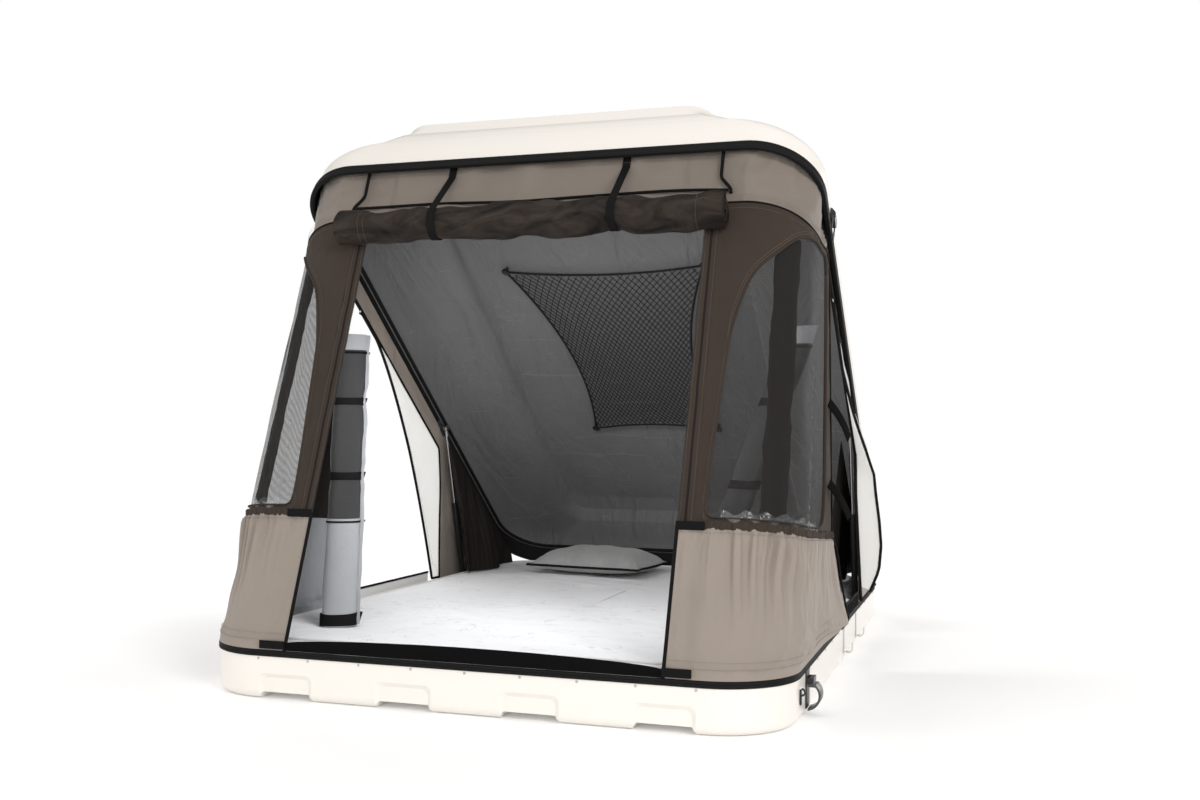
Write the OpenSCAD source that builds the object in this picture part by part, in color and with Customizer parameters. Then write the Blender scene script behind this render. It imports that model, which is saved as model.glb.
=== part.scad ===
// Hard shell roof top tent, shown open: a moulded tub and a lid hinged at the far end, with cloth walls between them
// The door faces -Y, the hinge is at +Y, and the underside of the tub lies on z = 0

/* [Shell] */
// Overall width across the rim
shell_w = 1420; // [1340:10:1560]
// Overall length of the base
shell_l = 1950; // [1850:10:2200]
// Plan radius of the four corners
corner_r = 180; // [150:5:210]
// Thickness of the moulded walls
wall = 9; // [7:1:12]
// Height of the tub wall
tub_h = 112; // [106:1:130]
// Thickness of the tub floor
floor_t = 30; // [26:1:40]
// Radius along the bottom edge of the tub
tub_edge = 22; // [12:1:28]

/* [Flutes and rails] */
// Width of one flute in the tub
flute_w = 140; // [110:5:160]
// Spacing of the flutes
flute_pitch = 300; // [260:5:320]
// Height of the flutes on the end faces
flute_h = 60; // [48:1:70]
// Depth of the flutes in the end faces
flute_d = 7; // [4:0.5:8]
// Depth of the channels under the floor
channel_d = 16; // [14:1:20]
// Width of a mounting rail
rail_w = 34; // [30:1:44]
// Length of a mounting rail
rail_l = 1640; // [1200:10:1740]
// Mouth of the rail's slot
rail_slot = 9; // [8.5:0.5:12]
// Width inside the rail's slot
rail_bolt_w = 18; // [14:0.5:22]
// Wall of a mounting rail
rail_wall = 4; // [3:0.5:5]

/* [Rim] */
// Height of the black hem round the rim
hem_w = 15; // [12:1:28]
// Thickness of the hem
hem_t = 4; // [3:0.5:6]
// Spacing of the rivets under the hem
rivet_pitch = 130; // [90:5:180]
// Radius of a rivet head
rivet_r = 3.5; // [3:0.5:6]

/* [Lid] */
// Height of the lid from its rim to the raised deck
lid_rise = 207; // [195:1:230]
// Height of the upright part of the lid's wall
lid_wall_h = 68; // [64:1:80]
// Height of the shoulders beside the deck
shoulder_h = 118; // [112:1:152]
// Rise of the ledge from the shoulders to the foot of the deck
ledge_rise = 27; // [5:1:30]
// Width from shoulder to shoulder
shoulder_w = 1160; // [1080:10:1180]
// Width across the foot of the raised deck
deck_foot_w = 1000; // [960:10:1040]
// Width of the raised deck
deck_w = 880; // [820:10:920]
// Angle at which the lid stands open
lid_open = 37.4; // [30:0.2:42]
// Height of the rubber seal on the lid's side
seal_h = 22; // [14:1:23]
// Depth of the seal's lip under the lid's rim
seal_lip = 4; // [3:0.5:6]
// Thickness of the headliner
liner_t = 4; // [3:0.5:6]

/* [Hinges and struts] */
// Distance of a hinge from the middle
hinge_x = 430; // [300:10:480]
// Width of a hinge
hinge_w = 90; // [70:2:120]
// Radius of a hinge pin
hinge_pin_r = 4; // [3:0.5:5]
// How far the hinge line stands out from the shell
hinge_out = 9; // [8.5:0.5:12]
// Distance of the strut's foot from the hinge line
strut_foot = 450; // [420:5:480]
// Distance of the strut's head from the hinge line
strut_head = 800; // [770:5:830]
// Height of the strut's foot
strut_z = 85; // [70:1:92]
// Radius of the strut's cylinder
strut_r = 10; // [8:0.5:11]
// Radius of the strut's rod
rod_r = 5; // [3:0.5:6]
// Length of the strut's cylinder
cylinder_l = 300; // [270:5:310]

/* [Latches] */
// Distance of the latches from the door end
latch_back = 285; // [285:5:420]
// Width of a latch
latch_w = 44; // [36:2:56]
// Height of a latch lever's pivot
lever_z = 78; // [72:1:79]
// Length of a latch lever
lever_l = 66; // [54:1:68]
// How far a lever stands out
lever_d = 34; // [26:1:40]
// Wire radius of a bail ring
bail_wire = 2; // [1.5:0.1:2.2]
// Length of a bail ring
bail_l = 46; // [40:1:48]
// Middle of the pair of ladder hooks on each side
ladder_y = 125; // [0:5:160]
// Spacing of the ladder hooks
ladder_pitch = 290; // [240:5:300]
// Inside radius of a ladder hook
hook_r = 10; // [8:0.5:12]

/* [Bedding] */
// Height of the mattress
mattress_t = 108; // [100:1:112]
// Gap between the mattress and the tub at the ends
mattress_gap = 26; // [22:1:40]
// Width of the pillow
pillow_w = 430; // [340:10:520]
// Depth of the pillow
pillow_l = 310; // [240:10:380]
// Height of the pillow
pillow_t = 82; // [60:2:110]

/* [Cloth] */
// Thickness of the tent cloth
cloth_t = 3; // [2:0.2:4]
// Width of the doorway
door_w = 900; // [820:10:920]
// Width of the door's zip tape
zip_w = 34; // [24:1:36]
// Depth of the header band below the lid
header_d = 175; // [130:5:200]
// Distance of a window's foot above the skirt
window_foot = 18; // [12:1:30]
// Distance of a window's top below the header band
window_head = 26; // [18:1:40]
// How far a window's top climbs towards the side
window_climb = 150; // [100:5:180]
// Height of the corner skirts up the slope of the wall
skirt_d = 330; // [280:10:380]
// Depth of the gathers in a skirt
gather = 7; // [3:0.5:9]
// Where the side doorway starts, measured from the tub's middle towards the door
side_door_near = 280; // [240:10:320]
// Where the side doorway ends, measured from the tub's middle towards the hinge
side_door_far = 396; // [380:2:420]
// Depth of the side panel's strip below the lid
strip_d = 56; // [40:2:66]
// Share of the right flap that is left hanging, the rest is folded up
flap_fold = 0.6; // [0.4:0.05:0.9]
// How far the right flap bulges outwards
flap_bulge = 48; // [20:2:60]
// Length of the door roll
roll_l = 1010; // [940:10:1040]
// Radius of the door roll
roll_r = 46; // [40:1:54]
// Distance of the door roll below the header band's edge
roll_drop = 46; // [36:2:70]
// Distance of a roll strap from the middle
strap_x = 235; // [180:5:300]
// Width of a roll strap
strap_w = 20; // [14:1:30]
// Half width of a rolled side door
side_roll_r = 52; // [36:1:54]
// How far the foot of a rolled side door stands in from the bed's edge
side_roll_in = 220; // [160:5:260]
// How far a rolled side door leans back
side_roll_lean = 410; // [300:10:440]
// Height of a rolled side door
side_roll_h = 756; // [660:2:780]
// Height of the door's sill band in its middle
sill_h = 34; // [30:1:50]
// Height of the door's sill band at its ends
sill_end_h = 16; // [10:1:28]
// Height of the side doorways' sill bands
side_sill_h = 35; // [24:1:44]

/* [Storage net] */
// Width of the net at its door end
net_w = 610; // [520:10:640]
// Width of the net at its hinge end
net_end_w = 430; // [380:10:480]
// Length of the net
net_l = 770; // [640:10:820]
// Distance of the net's far edge from the hinge line
net_r = 620; // [560:10:660]
// How far the net's edges are drawn in
net_sag = 62; // [30:2:70]
// Gaps across the net
net_cols = 12; // [8:1:15]
// Gaps along the net
net_rows = 15; // [10:1:18]
// Thickness of the net's cords
net_cord = 4; // [2:0.5:6]

/* [Hidden] */
$fn = 48;

// Clearances
fit = 0.3;
seam = 0.4;
pin_play = 0.05;

// Half sizes of the shell, and the faces that other pieces seat on
hx = shell_w / 2;
hy = shell_l / 2;
tub_x = hx - hem_t - fit;
tub_y = hy - hem_t - fit;
tub_r = corner_r - hem_t - fit;
rim_top = tub_h + 2;
hem_z = rim_top - hem_w;
close_gap = 0.8;
hinge_y = hy + hinge_out;
hinge_z = rim_top + seal_lip + close_gap;
latch_y = hy - latch_back;

// The lid in its own frame: x across, y = minus the distance from the hinge line, z above the rim
lid_x = tub_x;
lid_far = hinge_out + hem_t + fit;
lid_near = hinge_out + shell_l - hem_t - fit;
lid_r = tub_r;
liner_gap = 0.6;
liner_foot = lid_wall_h - wall - liner_gap - liner_t - 2;
liner_top = lid_rise - wall - liner_gap - liner_t;

// Cloth lines: the rim below and the inside of the lid above
rim_x = hx - hem_t / 2;
rim_y = hy - hem_t / 2;
rim_r = corner_r - hem_t / 2;
cloth_z = rim_top + seam;
top_set = cloth_t / 2 + seam;
// How far the cloth keeps clear of the lid's drafted walls
near_draft = 1;
side_draft = 0.4;
top_x = lid_x - wall - top_set - side_draft;
top_reach = lid_near - wall - top_set - near_draft;
top_r = lid_r - wall - top_set;
top_h = liner_foot - 6;
strip_h = 12;

// Struts and bedding
strut_x = tub_x - wall - 20.7;
strut_head_h = 32;
strut_pin_r = 5;
eye_w = 12;
bed_x = strut_x - strut_r - 6;
bed_y = tub_y - wall - mattress_gap;
bed_z = floor_t + fit;
bed_top = bed_z + mattress_t;

function mix(a, b, t) = a * (1 - t) + b * t;
function soft_power(c, e) = sign(c) * pow(abs(c), e);
function ease(t) = t <= 0 ? 0 : t >= 1 ? 1 : t * t * (3 - 2 * t);
function lid_at(x, r, h) = [
    x,
    hinge_y - r * cos(lid_open) + h * sin(lid_open),
    hinge_z + r * sin(lid_open) + h * cos(lid_open)
];
// Distance from the hinge line of the lid's point that stands over y
function lid_reach(y, h) = (hinge_y + h * sin(lid_open) - y) / cos(lid_open);

module lid_place() {
    translate([0, hinge_y, hinge_z]) rotate([-lid_open, 0, 0]) children();
}
module both_sides() {
    children();
    mirror([1, 0, 0]) children();
}

// Rounded rectangle of given half sizes
module plan(x, y, r) {
    square([2 * (x - r), 2 * y], center = true);
    square([2 * x, 2 * (y - r)], center = true);
    for (sx = [-1, 1], sy = [-1, 1]) translate([sx * (x - r), sy * (y - r)]) circle(r);
}
// Closed ring of points round a rounded rectangle between two y values, counter-clockwise from above
function ring(x, y0, y1, r, z) = [
    for (q = [0:3], i = [0:8])
        let (a = 90 * q + 11.25 * i, cx = q == 0 || q == 3 ? x - r : r - x, cy = q < 2 ? y1 - r : y0 + r)
        [cx + r * cos(a), cy + r * sin(a), z]
];
function reversed(list) = [for (i = [len(list) - 1:-1:0]) list[i]];
// Solid through a stack of closed rings of points, listed from the bottom up
module loft(rings) {
    n = len(rings[0]);
    m = len(rings);
    ends = [for (r = [rings[0], rings[m - 1]]) [for (k = [0:2]) [for (p = r) p[k]] * [for (p = r) 1] / n]];
    points = concat([for (r = rings) each r], ends);
    walls = [
        for (i = [0:m - 2], k = [0:n - 1])
            let (
                k1 = (k + 1) % n, a = i * n + k, b = a + n, c = i * n + k1 + n, d = i * n + k1,
                short = norm(points[a] - points[c]) <= norm(points[b] - points[d]))
            each short ? [[a, b, c], [a, c, d]] : [[a, b, d], [b, c, d]]
    ];
    foot = [for (k = [0:n - 1]) [m * n, k, (k + 1) % n]];
    head = [for (k = [0:n - 1]) [m * n + 1, (m - 1) * n + (k + 1) % n, (m - 1) * n + k]];
    polyhedron(points, concat(walls, foot, head));
}
// Cloth of even thickness on a grid of middle points, rows upwards and columns to the right seen from outside
module cloth(mid, out) {
    rows = len(mid);
    cols = len(mid[0]);
    n = rows * cols;
    half = cloth_t / 2;
    points = [for (s = [1, -1], i = [0:rows - 1], j = [0:cols - 1]) mid[i][j] + s * half * out[i][j]];
    skins = [
        for (i = [0:rows - 2], j = [0:cols - 2])
            let (a = i * cols + j, b = a + cols, c = b + 1, d = a + 1)
            each [[a, b, c], [a, c, d], [n + c, n + b, n + a], [n + d, n + c, n + a]]
    ];
    top = (rows - 1) * cols;
    levels = [
        for (j = [0:cols - 2])
            let (a = j, d = j + 1, b = top + j, c = top + j + 1)
            each [[a, d, n + d], [a, n + d, n + a], [c, b, n + b], [c, n + b, n + c]]
    ];
    sides = [
        for (i = [0:rows - 2])
            let (a = i * cols, b = a + cols, d = a + cols - 1, c = d + cols)
            each [[b, a, n + a], [b, n + a, n + b], [d, c, n + c], [d, n + c, n + d]]
    ];
    polyhedron(points, concat(skins, levels, sides));
}
// Cloth frame between an outer loop and an inner loop of as many points, both counter-clockwise from outside
module cloth_frame(outer, inner, outer_out, inner_out) {
    n = len(outer);
    half = cloth_t / 2;
    points = [
        for (s = [1, -1]) each concat(
            [for (k = [0:n - 1]) outer[k] + s * half * outer_out[k]],
            [for (k = [0:n - 1]) inner[k] + s * half * inner_out[k]])
    ];
    faces = [
        for (k = [0:n - 1])
            let (o = k, p = (k + 1) % n, i = n + k, j = n + p, b = 2 * n)
            each [
                [o, i, j], [o, j, p], [b + j, b + i, b + o], [b + p, b + j, b + o],
                [o, p, b + p], [o, b + p, b + o], [j, i, b + i], [j, b + i, b + j]
            ]
    ];
    polyhedron(points, faces);
}
// Soft round bundle along a straight line, with half sizes across u and w, drawn in at the ties
module bundle(p0, p1, u, w, ru, rw, ties, steps) {
    loft([
        for (i = [0:steps])
            let (s = i / steps, grip = 1 - 0.16 * max([for (t = ties) exp(-pow((s - t) / 0.05, 2))]))
            [for (a = [0:30:330])
                mix(p0, p1, s) + grip * (1 + 0.05 * sin(5 * a + 700 * s)) * (ru * cos(a) * u + rw * sin(a) * w)]
    ]);
}

// Base tub
tub_fillet = [for (a = [0:18:90]) [tub_edge * (1 - sin(a)), tub_edge * (1 - cos(a))]];
function tub_ring(inset, z) = ring(tub_x - inset, inset - tub_y, tub_y - inset, tub_r - inset, z);
floor_cove = 8;
flute_draft = 10;
flute_xs = [for (i = [-1.5:1:1.5]) i * flute_pitch];
module flute_pocket(x) {
    for (s = [-1, 1]) hull() {
        translate([x - flute_w / 2, s * (tub_y + 1) - 0.5, -1]) cube([flute_w, 1, flute_h + 1]);
        translate([x - flute_w / 2 + flute_draft, s * (tub_y - flute_d), -1])
            cube([flute_w - 2 * flute_draft, 0.5, flute_h + 1 - flute_draft]);
    }
    hull() {
        translate([x - flute_w / 2, -tub_y - 1, -1]) cube([flute_w, 2 * tub_y + 2, 1]);
        translate([x - flute_w / 2 + flute_draft, -tub_y - 1, 0])
            cube([flute_w - 2 * flute_draft, 2 * tub_y + 2, channel_d]);
    }
}
module base_shell() {
    color("ivory") difference() {
        loft(concat(
            [for (p = tub_fillet) tub_ring(p[0], p[1])],
            [tub_ring(0, tub_h), tub_ring(wall, tub_h)],
            [for (a = [0:30:90]) tub_ring(wall + floor_cove * (1 - cos(a)), floor_t + floor_cove * (1 - sin(a)))]));
        for (x = flute_xs) flute_pocket(x);
    }
}
module rim_hem() {
    color("black") translate([0, 0, hem_z]) linear_extrude(hem_w) difference() {
        plan(hx, hy, corner_r);
        plan(hx - hem_t, hy - hem_t, corner_r - hem_t);
    }
}
// Rivets in rows along the straight parts of the tub wall
rivet_z = hem_z - rivet_r - 2;
rivet_h = 1.6;
hook_strap_w = 22;
function rivet_free(y) =
    min([
        abs(y + latch_y) - latch_w / 2,
        abs(y + eye_y) - eye_pad_r,
        abs(y - ladder_y + ladder_pitch / 2) - hook_strap_w / 2,
        abs(y - ladder_y - ladder_pitch / 2) - hook_strap_w / 2
    ]) > rivet_r + 2;
module rivet_row(half, place, keep_clear) {
    n = floor(half / rivet_pitch);
    for (i = [-n:n]) if (!keep_clear || rivet_free(i * rivet_pitch)) translate(place) translate([i * rivet_pitch, 0, rivet_z]) rotate([90, 0, 0])
        cylinder(r1 = rivet_r, r2 = rivet_r * 0.7, h = rivet_h);
}
module rim_rivets() {
    color("gainsboro") {
        rivet_row(tub_x - tub_r - rivet_r, [0, -tub_y, 0], false);
        both_sides() rotate([0, 0, 90]) rivet_row(tub_y - tub_r - rivet_r, [0, -tub_x, 0], true);
    }
}
module mounting_rails() {
    color("silver") both_sides() translate([flute_pitch * 1.5, rail_l / 2, 0]) rotate([90, 0, 0])
        linear_extrude(rail_l) difference() {
            translate([-rail_w / 2, 0]) square([rail_w, channel_d]);
            translate([-rail_slot / 2, -1]) square([rail_slot, rail_wall + 2]);
            translate([-rail_bolt_w / 2, rail_wall]) square([rail_bolt_w, channel_d - 2 * rail_wall]);
        }
}

// Hinges: two outer knuckles on the base leaf and one middle knuckle on the lid leaf
knuckle_r = hinge_pin_r + 2.5;
knuckle_w = hinge_w / 4;
knuckle_gap = 0.6;
leaf_t = 4;
leaf_h = 42;
leaf_clear = knuckle_r + 1.5;
module knuckle(x, w) {
    translate([x, 0, 0]) rotate([0, 90, 0]) difference() {
        cylinder(r = knuckle_r, h = w);
        translate([0, 0, -1]) cylinder(r = hinge_pin_r + pin_play, h = w + 2);
    }
}
// Web from a knuckle to the leaf below it, cut clear of the pin
module knuckle_web(x, w, drop) {
    difference() {
        translate([x, -hinge_out + fit, -drop]) cube([w, leaf_t, drop]);
        translate([x - 1, 0, 0]) rotate([0, 90, 0]) cylinder(r = hinge_pin_r + pin_play, h = w + 2);
    }
}
module hinge_base_leaves() {
    color("dimgray") for (x = [-hinge_x, hinge_x]) translate([x, hinge_y, hinge_z]) {
        for (k = [-hinge_w / 2, hinge_w / 2 - knuckle_w]) {
            knuckle(k, knuckle_w);
            knuckle_web(k, knuckle_w, leaf_clear + 1);
        }
        translate([-hinge_w / 2, -hinge_out + fit, hem_z - hinge_z - leaf_h + 16])
            cube([hinge_w, leaf_t, hinge_z - leaf_clear - hem_z + leaf_h - 16]);
        translate([-hinge_w / 2, tub_y - hinge_y, hem_z - hinge_z - leaf_h + 16])
            cube([hinge_w, hinge_out + hem_t + fit - hinge_out + leaf_t, leaf_h - 16 - fit]);
    }
}
module hinge_pins() {
    color("silver") for (x = [-hinge_x, hinge_x]) translate([x - hinge_w / 2 - 1, hinge_y, hinge_z])
        rotate([0, 90, 0]) {
            cylinder(r = hinge_pin_r, h = hinge_w + 2);
            for (z = [-2, hinge_w + 1 + fit]) translate([0, 0, z]) cylinder(r = knuckle_r - 1, h = 2.6);
        }
}
module hinge_lid_leaves() {
    color("dimgray") lid_place() for (x = [-hinge_x, hinge_x]) translate([x, 0, 0]) {
        k = -hinge_w / 2 + knuckle_w + knuckle_gap;
        w = hinge_w - 2 * (knuckle_w + knuckle_gap);
        knuckle(k, w);
        mirror([0, 0, 1]) knuckle_web(k, w, leaf_clear + 1);
        translate([-hinge_w / 2, -hinge_out + fit, leaf_clear]) cube([hinge_w, leaf_t, lid_wall_h - 8 - leaf_clear]);
        translate([-hinge_w / 2, -lid_far, seal_h + 1])
            cube([hinge_w, lid_far - hinge_out + leaf_t, lid_wall_h - 9 - seal_h]);
    }
}

// Latches: a lever on each side of the tub and a wire bail on each side of the lid
lever_out = 12;
lever_pin_r = 3;
ear_t = 3.8;
ear_r = 6;
latch_plate_t = 3;
cheek_gap = 0.5;
module latch_plate() {
    plate_z = lever_z - lever_l + 4;
    translate([tub_x, -latch_y - latch_w / 2, plate_z]) cube([latch_plate_t, latch_w, hem_z - fit - plate_z]);
    for (y = [-1, 1]) translate([tub_x, -latch_y + y * (latch_w / 2 - ear_t / 2), lever_z]) rotate([90, 0, 0]) {
        translate([0, 0, -ear_t / 2]) linear_extrude(ear_t) {
            translate([lever_out, 0]) circle(ear_r);
            translate([0, -ear_r]) square([lever_out, 2 * ear_r]);
        }
    }
    translate([tub_x + lever_out, -latch_y + latch_w / 2, lever_z]) rotate([90, 0, 0])
        cylinder(r = lever_pin_r, h = latch_w);
}
module latch_plates() {
    color("black") both_sides() latch_plate();
}
// The lever is a bowed handle, hollow towards the tub, with a hub on the pin and a lip that keeps the bail in
lever_wall = 5;
module lever_section() {
    bow_r = (pow(lever_l / 2, 2) + pow(lever_d - lever_wall, 2)) / (2 * (lever_d - lever_wall));
    difference() {
        intersection() {
            translate([lever_d - bow_r, -lever_l / 2]) circle(bow_r, $fn = 96);
            translate([lever_wall, -lever_l - 2]) square([lever_d, lever_l - ear_r]);
        }
        intersection() {
            translate([lever_d - bow_r, -lever_l / 2]) circle(bow_r - lever_wall, $fn = 96);
            translate([lever_wall - 1, -lever_l + 4]) square([lever_d, lever_l - ear_r - 12]);
        }
    }
}
module latch_lever() {
    hub_w = latch_w - 2 * (ear_t + cheek_gap);
    translate([tub_x, -latch_y, lever_z]) rotate([90, 0, 0]) difference() {
        union() {
            translate([0, 0, -latch_w / 2]) linear_extrude(latch_w) lever_section();
            translate([lever_out, 0, -hub_w / 2]) linear_extrude(hub_w) {
                circle(ear_r);
                translate([-ear_r, -ear_r - 8]) square([2 * ear_r, ear_r + 8]);
                translate([ear_r - 3, 0]) square([3.5, ear_r + 1.5]);
            }
        }
        translate([lever_out, 0, -latch_w]) cylinder(r = lever_pin_r + pin_play, h = 2 * latch_w);
    }
}
module latch_lever_right() {
    color("black") latch_lever();
}
module latch_lever_left() {
    color("black") mirror([1, 0, 0]) latch_lever();
}
// Catches and bails lie over the latch levers when the lid is down
latch_r = hinge_y + latch_y;
catch_w = latch_w - 10;
bail_out = 9;
bail_h = seal_h + 6.5;
module latch_catches() {
    profile = [[0, seal_h + 1.5], [0, 62], [4, 62], [bail_out + 5, 46], [bail_out + 6, bail_h], [bail_out + 4, seal_h + 1.5]];
    color("black") lid_place() both_sides() translate([lid_x, -latch_r + catch_w / 2, 0]) rotate([90, 0, 0])
        linear_extrude(catch_w) difference() {
            polygon(profile);
            translate([bail_out, bail_h]) circle(bail_wire + 0.3);
        }
}
module bail_ring() {
    half = catch_w / 2 + bail_wire + 1.5;
    lid_place() translate([lid_x + bail_out, -latch_r, bail_h]) {
        for (z = [0, -bail_l]) translate([0, half, z]) rotate([90, 0, 0]) cylinder(r = bail_wire, h = 2 * half);
        for (y = [-half, half]) translate([0, y, -bail_l]) cylinder(r = bail_wire, h = bail_l);
        for (y = [-half, half], z = [0, -bail_l]) translate([0, y, z]) sphere(bail_wire);
    }
}
module bail_ring_right() {
    color("silver") bail_ring();
}
module bail_ring_left() {
    color("silver") mirror([1, 0, 0]) bail_ring();
}
// Padlock eye beside the right latch
eye_pad_r = 6;
eye_y = min(latch_y + 104, tub_y - tub_r - eye_pad_r);
module lock_eye() {
    color("black") translate([tub_x, -eye_y, 0]) {
        rotate([0, 90, 0]) linear_extrude(4) {
            for (z = [46, 68]) translate([-z, 0]) circle(eye_pad_r);
            translate([-68, -eye_pad_r]) square([22, 2 * eye_pad_r]);
        }
        translate([4, 0, 68]) rotate([90, 0, 0]) translate([0, 0, -2]) linear_extrude(4) difference() {
            circle(9);
            circle(5);
            translate([-20, -10]) square([20 - fit, 20]);
        }
    }
}
// Ladder hooks on both sides of the tub, below the side doorways
strap_t = 2.5;
module ladder_hook() {
    translate([tub_x, -hook_strap_w / 2, tub_edge + 2]) cube([strap_t, hook_strap_w, hem_z - fit - tub_edge - 2]);
    translate([tub_x + strap_t + hook_r + fit, 8, tub_edge + hook_r + 6]) rotate([90, 0, 0]) linear_extrude(16) {
        difference() {
            circle(hook_r + strap_t);
            circle(hook_r);
            translate([-2 * hook_r, 0]) square([4 * hook_r, 2 * hook_r]);
        }
        translate([hook_r, 0]) square([strap_t, hook_r + 4]);
    }
}
module ladder_hooks() {
    color("silver") both_sides() for (s = [-0.5, 0.5]) translate([0, ladder_y + s * ladder_pitch, 0]) ladder_hook();
}

// Gas struts, from brackets inside the tub to studs inside the lid
strut_base = [strut_x, hinge_y - strut_foot, strut_z];
strut_tip = lid_at(strut_x, strut_head, strut_head_h);
strut_l = norm(strut_tip - strut_base);
strut_lean = atan2(strut_base[1] - strut_tip[1], strut_tip[2] - strut_base[2]);
bracket_t = 5;
bracket_h = 24;
bracket_l = 60;
module along_strut() {
    translate(strut_base) rotate([strut_lean, 0, 0]) children();
}
module strut_eye(r, bore) {
    rotate([0, 90, 0]) difference() {
        cylinder(r = r, h = eye_w, center = true);
        cylinder(r = bore, h = eye_w + 2, center = true);
    }
}
module strut_base_brackets() {
    color("dimgray") both_sides() {
        translate([tub_x - wall - bracket_t, strut_base[1] - bracket_l / 2, strut_z - bracket_h / 2])
            cube([bracket_t, bracket_l, bracket_h]);
        translate([strut_x - eye_w / 2 - 2, strut_base[1], strut_z]) rotate([0, 90, 0])
            cylinder(r = strut_pin_r, h = tub_x - wall - strut_x + eye_w / 2 + 2);
    }
}
module strut_lid_brackets() {
    stud = tub_x - wall - strut_x - eye_w / 2 - 1;
    color("dimgray") lid_place() both_sides() {
        translate([lid_x - wall - bracket_t, -strut_head - bracket_l / 2, strut_head_h - 15])
            cube([bracket_t, bracket_l, 30]);
        translate([lid_x - wall - stud, -strut_head, strut_head_h]) rotate([0, 90, 0])
            cylinder(r = strut_pin_r, h = stud);
    }
}
module strut_cylinder() {
    along_strut() {
        strut_eye(strut_r + 1, strut_pin_r + pin_play);
        difference() {
            translate([0, 0, strut_pin_r + 3]) cylinder(r = strut_r, h = cylinder_l - strut_pin_r - 3);
            translate([0, 0, 40]) cylinder(r = rod_r + 0.4, h = cylinder_l);
            rotate([0, 90, 0]) cylinder(r = strut_pin_r + pin_play, h = 4 * eye_w, center = true);
        }
    }
}
module strut_rod() {
    along_strut() translate([0, 0, cylinder_l - 30]) cylinder(r = rod_r, h = strut_l - cylinder_l + 22);
    along_strut() translate([0, 0, strut_l]) strut_eye(strut_r, strut_pin_r + 0.5);
}
module strut_cylinder_right() {
    color("black") strut_cylinder();
}
module strut_cylinder_left() {
    color("black") mirror([1, 0, 0]) strut_cylinder();
}
module strut_rod_right() {
    color("silver") strut_rod();
}
module strut_rod_left() {
    color("silver") mirror([1, 0, 0]) strut_rod();
}

// Lid: an upright wall, round shoulders, concave flanks and a raised deck with a round edge
flank_h = lid_rise - 22;
ledge_h = shoulder_h + ledge_rise;
shoulder_x = lid_x - shoulder_w / 2;
foot_x = lid_x - deck_foot_w / 2;
deck_x = lid_x - deck_w / 2;
deck_edge = 36;
lid_profile = concat(
    [[0, 0]],
    [for (a = [0:15:90])
        [shoulder_x * (1 - cos(a)), lid_wall_h + (shoulder_h - lid_wall_h) * sin(a)]],
    [for (a = [0:22.5:90])
        [foot_x + (deck_x - foot_x) * sin(a), ledge_h + (flank_h - ledge_h) * (1 - cos(a))]],
    [for (a = [30:30:90]) [deck_x + deck_edge * (1 - cos(a)), flank_h + (lid_rise - flank_h) * sin(a)]]
);
function end_inset(h) = 10 * pow(h / lid_rise, 2) + (h > flank_h ? deck_edge * (h - flank_h) / (lid_rise - flank_h) : 0);
// One level of the lid, set in by the given amount from the outside
function lid_ring(p, inset, h) =
    let (
        near = lid_near - end_inset(p[1]) - inset,
        slope_in = p[1] > lid_wall_h ? 0.5 * p[1] * ease((p[1] - lid_wall_h) / 80) : 0,
        far = lid_far + end_inset(p[1]) + slope_in + inset)
    ring(lid_x - p[0] - inset, -near, -far, max(60, lid_r - 0.35 * p[0]) - inset, h);
function lid_rings(inset, foot) = [
    for (i = [0:len(lid_profile) - 1])
        i == 0 ? lid_ring([0, foot == 0 ? 0 : foot + inset], inset, foot)
        : lid_ring(lid_profile[i], inset, lid_profile[i][1] - inset)
];
// Shell between two set-ins, open below, from the height foot upwards
module lid_form(outer, inner, foot) {
    loft(concat(reversed(lid_rings(inner, foot)), lid_rings(outer, foot)));
}
module lid_shell() {
    color("ivory") lid_place() lid_form(0, wall, 0);
}
module lid_liner() {
    color("gray") lid_place() lid_form(wall + liner_gap, wall + liner_gap + liner_t, liner_foot);
}
module lid_seal() {
    mid = -(lid_near + lid_far) / 2;
    color("black") lid_place() translate([0, mid, 0]) {
        translate([0, 0, -seal_lip]) linear_extrude(seal_lip + seal_h) difference() {
            plan(hx, hy, corner_r);
            plan(hx - hem_t, hy - hem_t, corner_r - hem_t);
        }
        translate([0, 0, -seal_lip]) linear_extrude(seal_lip - fit) difference() {
            plan(hx - 1, hy - 1, corner_r - 1);
            plan(tub_x - wall + 3, tub_y - wall + 3, tub_r - wall + 3);
        }
    }
}

// Storage net under the deck, with drawn-in edges, buttoned to the headliner at its corners
net_drop = 20;
net_t = 2;
net_h = liner_top - net_drop;
net_border = 9;
button_r = 4;
tab_r = 12;
function net_at(u, v) = [
    (u - 0.5) * mix(net_end_w, net_w, v) - (2 * u - 1) * net_sag * 4 * v * (1 - v),
    -net_r - net_l * v + (2 * v - 1) * net_sag * 0.4 * 4 * u * (1 - u)
];
module net_outline() {
    edge = concat(
        [for (i = [0:11]) net_at(i / 12, 0)], [for (i = [0:11]) net_at(1, i / 12)],
        [for (i = [0:11]) net_at(1 - i / 12, 1)], [for (i = [0:11]) net_at(0, 1 - i / 12)]);
    polygon(edge);
}
module net_gaps() {
    bu = net_border / net_end_w;
    bv = net_border / net_l;
    du = (1 - 2 * bu) / net_cols;
    dv = (1 - 2 * bv) / net_rows;
    cu = net_cord / net_w / 2;
    cv = net_cord / net_l / 2;
    for (i = [0:net_cols - 1], j = [0:net_rows - 1]) {
        u0 = bu + i * du + cu;
        u1 = bu + (i + 1) * du - cu;
        v0 = bv + j * dv + cv;
        v1 = bv + (j + 1) * dv - cv;
        polygon([net_at(u0, v0), net_at(u1, v0), net_at(u1, v1), net_at(u0, v1)]);
    }
}
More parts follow.
